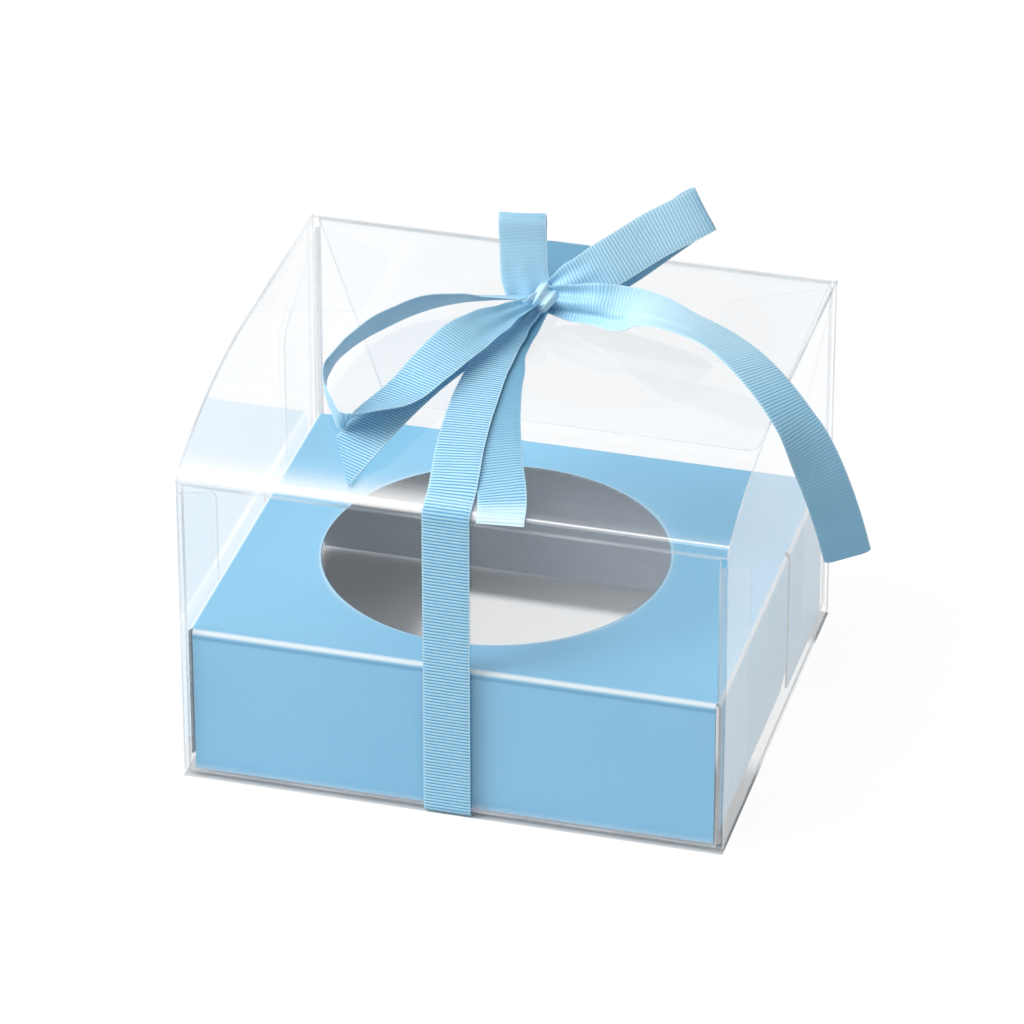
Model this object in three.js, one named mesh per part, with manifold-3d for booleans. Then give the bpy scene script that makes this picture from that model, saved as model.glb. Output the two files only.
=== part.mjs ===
// Clear cupcake box: a folded film sleeve with a tuck closure at each end, a blue card insert with
// a round hole, and a flat ribbon tied round the middle in a bow.
// Millimetres, +Z up. The origin is on the table under the middle of the box, +X runs along the
// front to the right, and +Y runs from the front to the back.
import * as THREE from "three";
import { mergeVertices } from "three/addons/utils/BufferGeometryUtils.js";
import Module from "manifold-3d";

// Film box
const BOX_WIDTH = 110;
const BOX_DEPTH = 94;
const BACK_HEIGHT = 78;
const FRONT_HEIGHT = 68; // where the bowed top would meet the front wall with a sharp fold
const FLAT_DEPTH = 47; // rear part of the top that stays level
const FILM = 0.3;
const CREASE_RADIUS = 1.2;
const FRONT_FOLD_RADIUS = 2.6;
const GAP = 0.3; // clearance between pieces that touch

// Seam flap: it hangs inside the back wall and closes the sleeve
const SEAM_DROP = 41;
const SEAM_TAPER = 14;
const SEAM_CORNER = 2;

// End closures
const TUCK_LENGTH = 20;
const TUCK_TAPER = 8;
const TUCK_FRONT_SETBACK = 4; // from the front end of the level top to the tuck flap
const TUCK_REAR_SETBACK = 3;
const TUCK_SLOPE_DEG = 4;
const TUCK_CORNER = 3;
const DUST_LENGTH = 23;
const DUST_TAPER = 0.55; // fall of the upper edge per millimetre away from its fold
const DUST_FOOT_TAPER = 0.36; // rise of the lower edge per millimetre away from its fold
const DUST_FOOT = 1.2; // from the base to the lower edge at its fold
const DUST_HEAD = 2.2; // from the end of the wall's straight height to the upper edge at its fold
const DUST_CORNER = 2.5;

// Card insert
const BOARD = 0.5;
const BOARD_BEND = 1; // outer radius of the card's folds
const INSERT_SIDE_CLEARANCE = 0.3;
const INSERT_FRONT_CLEARANCE = 1.2;
const INSERT_BACK_CLEARANCE = 1.4;
const INSERT_HEIGHT = 32;
const HOLE_DIAMETER = 70;
const HOLE_SHIFT_X = -3;
const HOLE_SHIFT_Y = -1;
const SIDE_LEG_LENGTH = 58;
const LEG_SLIT = 1.6; // between a side leg and the tab behind it
const SIDE_LEG_RAISE = 3; // a side leg stops short of the base
const LEG_CORNER = 6;

// Ribbon
const RIBBON_WIDTH = 9.5;
const RIBBON = 0.35;
const RIBBON_X = -0.5;
const BAND_BASE_RUN = 60; // the band's front end is stuck under the base, this far behind the front wall
const BAND_BACK_DROP = 14; // its rear end is stuck to the back wall, this far below the rear fold
const TAIL_CUT = 6; // how much further one edge runs at the left tail's slanted end
const LAYER = RIBBON + GAP; // from one layer of ribbon to the next
const KNOT = new THREE.Vector3(1.7, 15.6, 3.9); // place on the top, its height above the film
const KNOT_RADII = new THREE.Vector3(2.4, 3, 3.4);

// Worked out from the sizes above
const SEAT = RIBBON + GAP; // the box stands on the ribbon
const ROOF = SEAT + BACK_HEIGHT;
const HALF_WIDTH = BOX_WIDTH / 2;
const HALF_DEPTH = BOX_DEPTH / 2;
const BOW_RUN = BOX_DEPTH - FLAT_DEPTH;
const BOW_DROP = BACK_HEIGHT - FRONT_HEIGHT;
const BOW_RADIUS = (BOW_RUN ** 2 + BOW_DROP ** 2) / (2 * BOW_DROP);
const BOW_Y = HALF_DEPTH - FLAT_DEPTH;
const BOW_Z = ROOF - BOW_RADIUS;
const FOLD_Y = -HALF_DEPTH + FRONT_FOLD_RADIUS;
const FOLD_Z = BOW_Z + Math.sqrt((BOW_RADIUS - FRONT_FOLD_RADIUS) ** 2 - (FOLD_Y - BOW_Y) ** 2);
const FOLD_ANGLE = Math.atan2(FOLD_Z - BOW_Z, FOLD_Y - BOW_Y);
const FOLD_START_Y = BOW_Y + BOW_RADIUS * Math.cos(FOLD_ANGLE);
const WALL_HALF_WIDTH = HALF_WIDTH - FILM - GAP; // front and back walls end at the dust flaps
const INSERT_HALF_WIDTH = WALL_HALF_WIDTH - FILM - INSERT_SIDE_CLEARANCE;
const INSERT_FRONT = -HALF_DEPTH + FILM + INSERT_FRONT_CLEARANCE;
const SEAM_FACE = HALF_DEPTH - FILM - GAP; // outer face of the seam flap
const INSERT_BACK = SEAM_FACE - FILM - INSERT_BACK_CLEARANCE;
const FLOOR = SEAT + FILM; // upper face of the base
const INSERT_TOP = FLOOR + GAP + INSERT_HEIGHT;

const film = new THREE.MeshStandardMaterial({
  color: 0xf3f7fa,
  roughness: 0.08,
  metalness: 0,
  transparent: true,
  opacity: 0.3,
});
const board = new THREE.MeshStandardMaterial({ color: 0x8ccbee, roughness: 0.6, metalness: 0 });
const ribbon = new THREE.MeshStandardMaterial({ color: 0x9bcfea, roughness: 0.55, metalness: 0 });

const wasm = await Module();
wasm.setup();

// A closed mesh with shared vertices as a solid for the boolean cut.
function solidOf(geometry) {
  const bare = geometry.clone();
  bare.deleteAttribute("normal");
  bare.deleteAttribute("uv");
  const merged = mergeVertices(bare, 1e-4);
  const mesh = { numProp: 3, vertProperties: merged.attributes.position.array, triVerts: merged.index.array };
  return new wasm.Manifold(new wasm.Mesh({ ...mesh, triVerts: new Uint32Array(mesh.triVerts) }));
}

function geometryOf(solid) {
  const mesh = solid.getMesh();
  const geometry = new THREE.BufferGeometry();
  geometry.setAttribute("position", new THREE.BufferAttribute(mesh.vertProperties, mesh.numProp));
  geometry.setIndex(new THREE.BufferAttribute(mesh.triVerts, 1));
  geometry.computeVertexNormals();
  return geometry;
}

function named(name, geometry, material) {
  const mesh = new THREE.Mesh(geometry, material);
  mesh.name = name;
  return mesh;
}

// Points [y, z] of an arc round a centre; angles in radians from +Y towards +Z.
function arc(centreY, centreZ, radius, from, to, steps) {
  return Array.from({ length: steps + 1 }, (_, i) => {
    const angle = from + ((to - from) * i) / steps;
    return [centreY + radius * Math.cos(angle), centreZ + radius * Math.sin(angle)];
  });
}

// Stretches of the sleeve's outline, moved outwards by a given distance.
const RIGHT = 0;
const UP = Math.PI / 2;
const LEFT = Math.PI;
const DOWN = 1.5 * Math.PI;
const lowFront = (out) =>
  arc(-HALF_DEPTH + CREASE_RADIUS, SEAT + CREASE_RADIUS, CREASE_RADIUS + out, DOWN, LEFT, 4);
const frontFold = (out) => arc(FOLD_Y, FOLD_Z, FRONT_FOLD_RADIUS + out, LEFT, FOLD_ANGLE, 6);
const bow = (out, from = FOLD_ANGLE, to = UP) => arc(BOW_Y, BOW_Z, BOW_RADIUS + out, from, to, 8);
const rearFold = (out) =>
  arc(HALF_DEPTH - CREASE_RADIUS, ROOF - CREASE_RADIUS, CREASE_RADIUS + out, UP, RIGHT, 4);
const lowRear = (out) =>
  arc(HALF_DEPTH - CREASE_RADIUS, SEAT + CREASE_RADIUS, CREASE_RADIUS + out, RIGHT, -UP, 4);

// The top's outer face over a depth y: its height, and its slope along Y.
function roof(y) {
  const onFold = y < FOLD_START_Y;
  const [centreY, centreZ, radius] = onFold ? [FOLD_Y, FOLD_Z, FRONT_FOLD_RADIUS] : [BOW_Y, BOW_Z, BOW_RADIUS];
  const run = Math.min(y - centreY, 0);
  const rise = Math.sqrt(radius ** 2 - run ** 2);
  return { z: centreZ + rise, slope: -run / rise };
}

// A slab that has its outline in the YZ plane and its thickness along X.
function slabYZ(points, x0, x1) {
  const shape = new THREE.Shape(points.map(([y, z]) => new THREE.Vector2(y, z)));
  const geometry = new THREE.ExtrudeGeometry(shape, { depth: x1 - x0, bevelEnabled: false, curveSegments: 6 });
  const toYZ = new THREE.Matrix4().makeBasis(
    new THREE.Vector3(0, 1, 0),
    new THREE.Vector3(0, 0, 1),
    new THREE.Vector3(1, 0, 0),
  );
  return geometry.applyMatrix4(toYZ).translate(x0, 0, 0);
}

// A slab that has its outline in the XZ plane and its thickness along Y.
function slabXZ(points, y0, y1) {
  const shape = new THREE.Shape(points.map(([x, z]) => new THREE.Vector2(x, z)));
  const geometry = new THREE.ExtrudeGeometry(shape, { depth: y1 - y0, bevelEnabled: false, curveSegments: 6 });
  return geometry.rotateX(UP).translate(0, y1, 0);
}

// A slab that has its outline in the XY plane and its thickness along Z.
function slabXY(points, z0, z1) {
  const shape = new THREE.Shape(points.map(([x, y]) => new THREE.Vector2(x, y)));
  const geometry = new THREE.ExtrudeGeometry(shape, { depth: z1 - z0, bevelEnabled: false, curveSegments: 6 });
  return geometry.translate(0, 0, z0);
}

// A polygon whose corners are rounded: each corner is [a, b, radius], with no radius for a sharp one.
function rounded(corners) {
  const outline = [];
  corners.forEach(([a, b, radius = 0], i) => {
    const corner = new THREE.Vector2(a, b);
    if (!radius) {
      outline.push([a, b]);
      return;
    }
    const before = corners[(i + corners.length - 1) % corners.length];
    const after = corners[(i + 1) % corners.length];
    const back = new THREE.Vector2(before[0], before[1]).sub(corner).setLength(radius).add(corner);
    const ahead = new THREE.Vector2(after[0], after[1]).sub(corner).setLength(radius).add(corner);
    const curve = new THREE.QuadraticBezierCurve(back, corner, ahead);
    curve.getPoints(4).forEach((p) => outline.push([p.x, p.y]));
  });
  return outline;
}

// A bent sheet: the same stretch at its outer and inner distance from the sleeve's outline.
function bentSheet(stretch, outer, inner, x0, x1) {
  return slabYZ([...stretch(outer), ...stretch(inner).reverse()], x0, x1);
}

function makeSleeve() {
  const group = new THREE.Group();
  const baseHalf = HALF_WIDTH - FILM;
  const baseEnd = HALF_DEPTH - CREASE_RADIUS - GAP;
  const wallTop = FOLD_Z - GAP;
  const backTop = ROOF - CREASE_RADIUS - GAP;
  const front = (out) => [...lowFront(out), [-HALF_DEPTH - out, wallTop]];
  const top = (out) => [...frontFold(out), ...bow(out).slice(1), ...rearFold(out)];
  const back = (out) => [[HALF_DEPTH + out, backTop], ...lowRear(out)];
  const base = slabXY(
    [
      [-baseHalf, -baseEnd],
      [baseHalf, -baseEnd],
      [baseHalf, baseEnd],
      [-baseHalf, baseEnd],
    ],
    SEAT,
    FLOOR,
  );
  group.add(named("sleeve_base", base, film));
  group.add(named("sleeve_front", bentSheet(front, 0, -FILM, -WALL_HALF_WIDTH, WALL_HALF_WIDTH), film));
  group.add(named("sleeve_top", bentSheet(top, 0, -FILM, -HALF_WIDTH, HALF_WIDTH), film));
  group.add(named("sleeve_back", bentSheet(back, 0, -FILM, -WALL_HALF_WIDTH, WALL_HALF_WIDTH), film));

  const seamTop = ROOF - CREASE_RADIUS;
  const seamHalf = INSERT_HALF_WIDTH - GAP;
  const seam = rounded([
    [-seamHalf, seamTop],
    [-seamHalf + SEAM_TAPER, seamTop - SEAM_DROP, SEAM_CORNER],
    [seamHalf - SEAM_TAPER, seamTop - SEAM_DROP, SEAM_CORNER],
    [seamHalf, seamTop],
  ]);
  group.add(named("sleeve_seam_flap", slabXZ(seam, SEAM_FACE - FILM, SEAM_FACE), film));
  return group;
}

// One end closure: side is -1 for the left end and 1 for the right.
function makeEnd(word, side) {
  const group = new THREE.Group();
  const inset = FILM + GAP;
  const between = (a, b) => [Math.min(side * a, side * b), Math.max(side * a, side * b)];

  // End panel: it is folded up from the base, and its upper edge follows the bowed top.
  const tuckRear = HALF_DEPTH - TUCK_REAR_SETBACK;
  const tuckFront = BOW_Y + TUCK_FRONT_SETBACK;
  const creaseZ = ROOF - inset - FILM / 2;
  const notch = creaseZ - GAP;
  const panel = [
    [-HALF_DEPTH + inset, FLOOR + GAP],
    ...frontFold(-inset),
    ...bow(-inset).slice(1),
    [tuckFront - GAP, ROOF - inset],
    [tuckFront - GAP, notch],
    [tuckRear + GAP, notch],
    [tuckRear + GAP, ROOF - inset],
    ...rearFold(-inset),
    [HALF_DEPTH - inset, FLOOR + GAP],
  ];
  group.add(named(`${word}_end_panel`, slabYZ(panel, ...between(HALF_WIDTH - FILM, HALF_WIDTH)), film));

  // Tuck flap: its crease is the panel's upper edge, and it slopes down a little under the top.
  const start = GAP + FILM / 2;
  const flap = rounded([
    [-side * start, tuckFront],
    [-side * TUCK_LENGTH, tuckFront + TUCK_TAPER, TUCK_CORNER],
    [-side * TUCK_LENGTH, tuckRear - TUCK_TAPER, TUCK_CORNER],
    [-side * start, tuckRear],
  ]);
  const tuck = named(`${word}_tuck_flap`, slabXY(flap, -FILM / 2, FILM / 2), film);
  tuck.position.set(side * (HALF_WIDTH - FILM / 2), 0, creaseZ);
  tuck.rotation.y = -side * THREE.MathUtils.degToRad(TUCK_SLOPE_DEG);
  group.add(tuck);

  // Dust flaps: folded in from the front and back walls, tapered towards their free edge.
  const foot = FLOOR + DUST_FOOT;
  const footEnd = foot + DUST_FOOT_TAPER * DUST_LENGTH;
  const dust = (end, head) => {
    const fold = end * (HALF_DEPTH - inset);
    const free = end * (HALF_DEPTH - DUST_LENGTH);
    return rounded([
      [fold, foot],
      [free, footEnd, DUST_CORNER],
      [free, head - DUST_TAPER * DUST_LENGTH, DUST_CORNER],
      [fold, head],
    ]);
  };
  const flapX = between(WALL_HALF_WIDTH - FILM, WALL_HALF_WIDTH);
  const frontHead = FOLD_Z - DUST_HEAD;
  const rearHead = ROOF - CREASE_RADIUS - DUST_HEAD;
  group.add(named(`${word}_front_dust_flap`, slabYZ(dust(-1, frontHead), ...flapX), film));
  group.add(named(`${word}_rear_dust_flap`, slabYZ(dust(1, rearHead), ...flapX), film));
  return group;
}

function makeInsert() {
  const group = new THREE.Group();
  const foldZ = INSERT_TOP - BOARD_BEND;

  // Top with its two side edges folded down, and the round hole.
  const edge = (out, side) => {
    const x = side * (INSERT_HALF_WIDTH - BOARD_BEND);
    const from = side > 0 ? UP : LEFT;
    return arc(x, foldZ, BOARD_BEND + out, from, from - UP, 3);
  };
  const section = [...edge(0, -1), ...edge(0, 1), ...edge(-BOARD, 1).reverse(), ...edge(-BOARD, -1).reverse()];
  const topFront = INSERT_FRONT + BOARD_BEND + GAP;
  const topBack = INSERT_BACK - BOARD_BEND - GAP;
  const plate = solidOf(slabXZ(section, topFront, topBack));
  const punch = new THREE.CylinderGeometry(HOLE_DIAMETER / 2, HOLE_DIAMETER / 2, 8 * BOARD, 72);
  punch.rotateX(UP).translate(HOLE_SHIFT_X, (INSERT_FRONT + INSERT_BACK) / 2 + HOLE_SHIFT_Y, INSERT_TOP);
  group.add(named("insert_top", geometryOf(plate.subtract(solidOf(punch))), board));

  // Front and back legs stand on the base, each with its fold at the top.
  const legHalf = INSERT_HALF_WIDTH - BOARD - GAP;
  const legBottom = FLOOR + GAP;
  const frontLeg = (out) => [
    [INSERT_FRONT - out, legBottom],
    ...arc(INSERT_FRONT + BOARD_BEND, foldZ, BOARD_BEND + out, LEFT, UP, 3),
  ];
  const backLeg = (out) => [
    ...arc(INSERT_BACK - BOARD_BEND, foldZ, BOARD_BEND + out, UP, RIGHT, 3),
    [INSERT_BACK + out, legBottom],
  ];
  group.add(named("insert_front_leg", bentSheet(frontLeg, 0, -BOARD, -legHalf, legHalf), board));
  group.add(named("insert_back_leg", bentSheet(backLeg, 0, -BOARD, -legHalf, legHalf), board));

  // Each side has a long leg with a rounded rear corner, and a tab behind the slit.
  const legFront = INSERT_FRONT;
  const legRear = legFront + SIDE_LEG_LENGTH;
  const tabFront = legRear + LEG_SLIT;
  const legTop = foldZ - GAP;
  const longLeg = rounded([
    [legFront, legBottom + SIDE_LEG_RAISE, LEG_CORNER / 3],
    [legRear, legBottom + SIDE_LEG_RAISE, LEG_CORNER],
    [legRear, legTop],
    [legFront, legTop],
  ]);
  const tab = rounded([
    [tabFront, legBottom, LEG_CORNER / 3],
    [INSERT_BACK, legBottom, LEG_CORNER / 3],
    [INSERT_BACK, legTop],
    [tabFront, legTop],
  ]);
  for (const [word, side] of [
    ["left", -1],
    ["right", 1],
  ]) {
    const x0 = side > 0 ? INSERT_HALF_WIDTH - BOARD : -INSERT_HALF_WIDTH;
    group.add(named(`insert_${word}_leg`, slabYZ(longLeg, x0, x0 + BOARD), board));
    group.add(named(`insert_${word}_tab`, slabYZ(tab, x0, x0 + BOARD), board));
  }
  return group;
}

// Depth y on the top at a share of the way along it: 0 is at the knot, 1 where the front fold
// begins, 2 at the front wall, and -1 at the rear fold.
function alongTop(share) {
  const rearFoldY = HALF_DEPTH - CREASE_RADIUS;
  if (share < 0) return THREE.MathUtils.lerp(KNOT.y, rearFoldY, -share);
  if (share < 1) return THREE.MathUtils.lerp(KNOT.y, FOLD_START_Y, share);
  return THREE.MathUtils.lerp(FOLD_START_Y, -HALF_DEPTH, share - 1);
}

// A flat strap along a curve. Each station is a centre point, the direction from one edge to the
// other, and the strap's width and the height of its pleats there, in ribbon widths. A strap that
// lies on the top has its height over the film in place of z, and is kept square to the film. Cut
// is how much further one edge runs at the last station, for a slanted end.
function strapGeometry(stations, { lies = false, cut = 0, steps = 3 } = {}) {
  const cells = 4;
  const curve = (points) => new THREE.CatmullRomCurve3(points, false, "centripetal");
  const at = curve(stations.map((s) => s.at));
  const across = lies ? null : curve(stations.map((s) => new THREE.Vector3(...s.across)));
  const last = stations.length - 1;
  const mix = (key, fallback, t) => {
    const i = Math.min(Math.floor(t * last), last - 1);
    const [a, b] = [stations[i][key] ?? fallback, stations[i + 1][key] ?? fallback];
    return THREE.MathUtils.lerp(a, b, THREE.MathUtils.smoothstep(t * last - i, 0, 1));
  };
  const rows = last * steps;
  const vertices = [];
  for (let row = 0; row <= rows; row++) {
    const t = row / rows;
    const centre = at.getPoint(t);
    const tangent = at.getTangent(t);
    const side = new THREE.Vector3();
    if (lies) {
      const { z, slope } = roof(centre.y);
      const outwards = new THREE.Vector3(0, -slope, 1).normalize();
      const lift = centre.z + GAP + RIBBON / 2;
      centre.setZ(z).addScaledVector(outwards, lift);
      tangent.setZ(tangent.z + slope * tangent.y).normalize();
      side.crossVectors(outwards, tangent).normalize();
    } else {
      side.copy(across.getPoint(t));
      side.addScaledVector(tangent, -side.dot(tangent)).normalize();
    }
    const normal = new THREE.Vector3().crossVectors(tangent, side);
    const half = (RIBBON_WIDTH * mix("width", 1, t)) / 2;
    const pleat = (RIBBON_WIDTH * mix("pleat", 0, t)) / 2;
    const slant = Math.max(0, 1 - (rows - row) / (2 * steps)); // the cut is spread over the last rows
    for (const face of [1, -1]) {
      for (let cell = 0; cell <= cells; cell++) {
        const u = (face * (2 * cell)) / cells - face;
        const fold = cell % 2 === 0 ? pleat : -pleat;
        const point = centre
          .clone()
          .addScaledVector(side, u * half)
          .addScaledVector(normal, fold + (face * RIBBON) / 2);
        point.addScaledVector(tangent, (u * cut * slant) / 2);
        vertices.push(point.x, point.y, point.z);
      }
    }
  }
  const ring = 2 * (cells + 1);
  const index = [];
  for (let row = 0; row < rows; row++) {
    for (let k = 0; k < ring; k++) {
      const next = (k + 1) % ring;
      const [p, q] = [row * ring + k, row * ring + next];
      index.push(p, p + ring, q + ring, p, q + ring, q);
    }
  }
  const end = rows * ring;
  for (let cell = 0; cell < cells; cell++) {
    const [a, b, c, d] = [cell, cell + 1, ring - 2 - cell, ring - 1 - cell];
    index.push(a, b, c, a, c, d);
    index.push(end + a, end + c, end + b, end + a, end + d, end + c);
  }
  const geometry = new THREE.BufferGeometry();
  geometry.setAttribute("position", new THREE.Float32BufferAttribute(vertices, 3));
  geometry.setIndex(index);
  geometry.computeVertexNormals();
  return geometry;
}

// The knot: a barrel of pleated ribbon with its axis along X, drawn in at both ends.
function knotGeometry() {
  const rings = 9;
  const sides = 22;
  const pleats = 5;
  const vertices = [];
  for (let i = 0; i <= rings; i++) {
    const along = -1 + (2 * i) / rings;
    const girth = Math.sqrt(1 - 0.62 * along * along);
    for (let k = 0; k < sides; k++) {
      const turn = (2 * Math.PI * k) / sides;
      const reach = girth * (1 + 0.05 * Math.cos(pleats * turn + 2 * along));
      vertices.push(KNOT_RADII.x * along, KNOT_RADII.y * reach * Math.cos(turn));
      vertices.push(KNOT_RADII.z * reach * Math.sin(turn));
    }
  }
  const [left, right] = [vertices.length / 3, vertices.length / 3 + 1];
  vertices.push(-0.85 * KNOT_RADII.x, 0, 0, 0.85 * KNOT_RADII.x, 0, 0);
  const index = [];
  for (let k = 0; k < sides; k++) {
    const next = (k + 1) % sides;
    for (let i = 0; i < rings; i++) {
      const [p, q] = [i * sides + k, i * sides + next];
      index.push(p, q + sides, p + sides, p, q, q + sides);
    }
    index.push(left, next, k);
    index.push(right, rings * sides + k, rings * sides + next);
  }
  const geometry = new THREE.BufferGeometry();
  geometry.setAttribute("position", new THREE.Float32BufferAttribute(vertices, 3));
  geometry.setIndex(index);
  geometry.computeVertexNormals();
  return geometry;
}

function makeRibbon() {
  const group = new THREE.Group();
  const inner = GAP;
  const outer = GAP + RIBBON;
  const x0 = RIBBON_X - RIBBON_WIDTH / 2;
  const x1 = RIBBON_X + RIBBON_WIDTH / 2;
  // The band runs from under the base up the front wall, over the top through the knot, and ends
  // just below the rear fold.
  const bendEnd = HALF_DEPTH - CREASE_RADIUS;
  const front = (out) => [...lowFront(out), ...frontFold(out)];
  const backEnd = ROOF - CREASE_RADIUS - BAND_BACK_DROP;
  const back = (out) => [...rearFold(out), [HALF_DEPTH + out, backEnd]];
  const base = [
    [x0, -bendEnd + GAP],
    [x1, -bendEnd + GAP],
    [x1, -HALF_DEPTH + BAND_BASE_RUN],
    [x0, -HALF_DEPTH + BAND_BASE_RUN],
  ];
  group.add(named("ribbon_base", slabXY(base, 0, RIBBON), ribbon));
  group.add(named("ribbon_front", bentSheet(front, outer, inner, x0, x1), ribbon));
  group.add(named("ribbon_back", bentSheet(back, outer, inner, x0, x1), ribbon));

  // Straps that lie on the top, from the knot outwards: the two ends of the band and two tails.
  // Each place is [ribbon widths to the right of the knot, share along the top, layers of lift].
  const lying = {
    ribbon_front_top: [
      { at: [-0.12, 0.052, 3.54], width: 0.44, pleat: 0.095 },
      { at: [-0.25, 0.108, 2.31], width: 0.55, pleat: 0.053 },
      { at: [-0.37, 0.206, 1.46], width: 0.72 },
      { at: [-0.44, 0.37, 1.23], width: 0.86 },
      { at: [-0.43, 0.583, 1.23], width: 0.97 },
      { at: [-0.36, 0.78, 1.23] },
      { at: [-0.26, 0.895, 1.23] },
      { at: [-0.23, 0.959, 0.92] },
      { at: [-0.23, 0.995, 0.05] },
    ],
    ribbon_back_top: [
      { at: [-0.01, -0.123, 0.92], width: 0.44, pleat: 0.053 },
      { at: [-0.03, -0.245, 0.31], width: 0.63 },
      { at: [-0.14, -0.444, 0.05] },
      { at: [-0.22, -0.775, 0.05] },
      { at: [-0.23, -0.987, 0.05] },
    ],
    ribbon_short_tail: [
      { at: [0.01, 0.059, 0.46], width: 0.42, pleat: 0.042 },
      { at: [-0.14, 0.157, 0.05], width: 0.46 },
      { at: [-0.2, 0.256, 0.05], width: 0.65 },
      { at: [-0.14, 0.403, 0.05], width: 0.91 },
      { at: [0.07, 0.6, 0.05] },
      { at: [0.49, 0.813, 0.05] },
      { at: [0.8, 0.944, 0.05] },
      { at: [0.88, 1, 0.05] },
      { at: [0.89, 1.557, 0.05] },
      { at: [0.91, 1.905, 0.05] },
    ],
    ribbon_left_tail: [
      { at: [-0.48, 0.066, 0.92], width: 0.4, pleat: 0.042 },
      { at: [-0.68, 0.141, 0.46], width: 0.53 },
      { at: [-1.04, 0.256, 0.05], width: 0.88 },
      { at: [-1.4, 0.387, 0.05] },
      { at: [-1.78, 0.534, 0.05] },
      { at: [-2.14, 0.682, 0.05] },
      { at: [-2.39, 0.787, 0.05] },
      { at: [-2.59, 0.869, 0.05] },
    ],
  };
  const onTop = ([x, share, layers]) =>
    new THREE.Vector3(KNOT.x + x * RIBBON_WIDTH, alongTop(share), layers * LAYER);
  for (const [name, rows] of Object.entries(lying)) {
    const stations = rows.map((row) => ({ ...row, at: onTop(row.at) }));
    const cut = name === "ribbon_left_tail" ? TAIL_CUT : 0;
    group.add(named(name, strapGeometry(stations, { lies: true, cut }), ribbon));
  }

  // The bow stands clear of the top: one loop lies to the left, one is raised to the right, and
  // one stands up behind the knot. Each place is in ribbon widths from the middle of the knot.
  const free = {
    ribbon_left_loop_upper: [
      { at: [-0.43, 0, 0.09], across: [0, 0.95, -0.3], width: 0.38, pleat: 0.084 },
      { at: [-1.06, -0.19, 0.01], across: [-0.2, 0.95, -0.2], width: 0.53, pleat: 0.053 },
      { at: [-1.71, -0.43, 0.01], across: [-0.35, 0.92, -0.2], width: 0.79 },
      { at: [-2.31, -0.91, 0.03], across: [-0.4, 0.9, -0.2], width: 0.95 },
      { at: [-2.83, -1.82, 0.09], across: [-0.45, 0.85, -0.28] },
      { at: [-3.14, -2.8, 0.15], across: [-0.45, 0.82, -0.38] },
      { at: [-3.33, -3.75, 0.04], across: [-0.4, 0.8, -0.45] },
      { at: [-3.26, -4.47, -0.07], across: [-0.35, 0.8, -0.47] },
      { at: [-3.06, -4.99, -0.16], across: [-0.38, 0.77, -0.52] },
    ],
    ribbon_left_loop_lower: [
      { at: [-3.01, -5.07, -0.19], across: [-0.38, 0.76, -0.53] },
      { at: [-2.69, -5.33, -0.34], across: [-0.48, 0.5, -0.72] },
      { at: [-2.33, -5.03, -0.33], across: [-0.7, 0.4, -0.58] },
      { at: [-2.11, -4.46, -0.28], across: [-0.8, 0.5, -0.25] },
      { at: [-1.78, -3.83, -0.16], across: [-0.78, 0.6, 0.1] },
      { at: [-1.44, -3.17, 0.01], across: [-0.75, 0.56, 0.38] },
      { at: [-1.08, -2.33, 0.12], across: [-0.62, 0.64, 0.46] },
      { at: [-0.75, -1.43, 0.09], across: [-0.6, 0.6, 0.5], width: 0.78, pleat: 0.032 },
      { at: [-0.45, -0.76, 0.07], across: [-0.6, 0.5, 0.6], width: 0.48, pleat: 0.063 },
      { at: [-0.32, -0.4, 0.09], across: [-0.7, 0.4, 0.6], width: 0.38, pleat: 0.084 },
    ],
    ribbon_raised_loop: [
      { at: [0.23, 0.27, 0.19], across: [-0.3, 0.2, 0.93], width: 0.44, pleat: 0.074 },
      { at: [0.75, 0.34, 0.47], across: [-0.25, 0.1, 0.95], width: 0.74, pleat: 0.042 },
      { at: [1.29, 0.55, 0.76], across: [-0.28, 0.05, 0.95], width: 0.95 },
      { at: [2.14, 1.18, 1.23], across: [-0.4, 0.1, 0.92] },
      { at: [2.83, 1.65, 1.54], across: [-0.52, 0.1, 0.85] },
      { at: [3, 1.83, 1.62], across: [-0.55, 0.1, 0.83] },
      { at: [2.87, 1.94, 1.51], across: [-0.52, 0.1, 0.85] },
      { at: [2.22, 1.54, 1.1], across: [-0.4, 0.1, 0.92] },
      { at: [1.38, 0.91, 0.57], across: [-0.28, 0.1, 0.95], width: 0.95 },
      { at: [0.81, 0.61, 0.3], across: [-0.25, 0.1, 0.95], width: 0.74, pleat: 0.042 },
      { at: [0.27, 0.43, 0.09], across: [-0.3, 0.2, 0.93], width: 0.44, pleat: 0.074 },
    ],
    ribbon_upright_loop: [
      { at: [-0.35, 0.37, -0.02], across: [-0.93, -0.3, 0], width: 0.57, pleat: 0.095 },
      { at: [-0.52, 0.53, 0.26], across: [-0.93, -0.3, 0.04], width: 0.88, pleat: 0.042 },
      { at: [-0.6, 0.78, 0.85], across: [-0.93, -0.3, 0.05] },
      { at: [-0.66, 0.92, 1.29], across: [-0.93, -0.3, 0.05] },
      { at: [-0.68, 1.03, 1.41], across: [-0.93, -0.3, 0.05] },
      { at: [-0.71, 1.14, 1.27], across: [-0.93, -0.3, 0.05] },
      { at: [-0.68, 1.09, 0.72], across: [-0.93, -0.3, 0.05] },
      { at: [-0.58, 0.84, 0.11], across: [-0.93, -0.3, 0.04], width: 0.88, pleat: 0.042 },
      { at: [-0.43, 0.57, -0.21], across: [-0.93, -0.3, 0], width: 0.57, pleat: 0.095 },
    ],
  };
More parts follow.
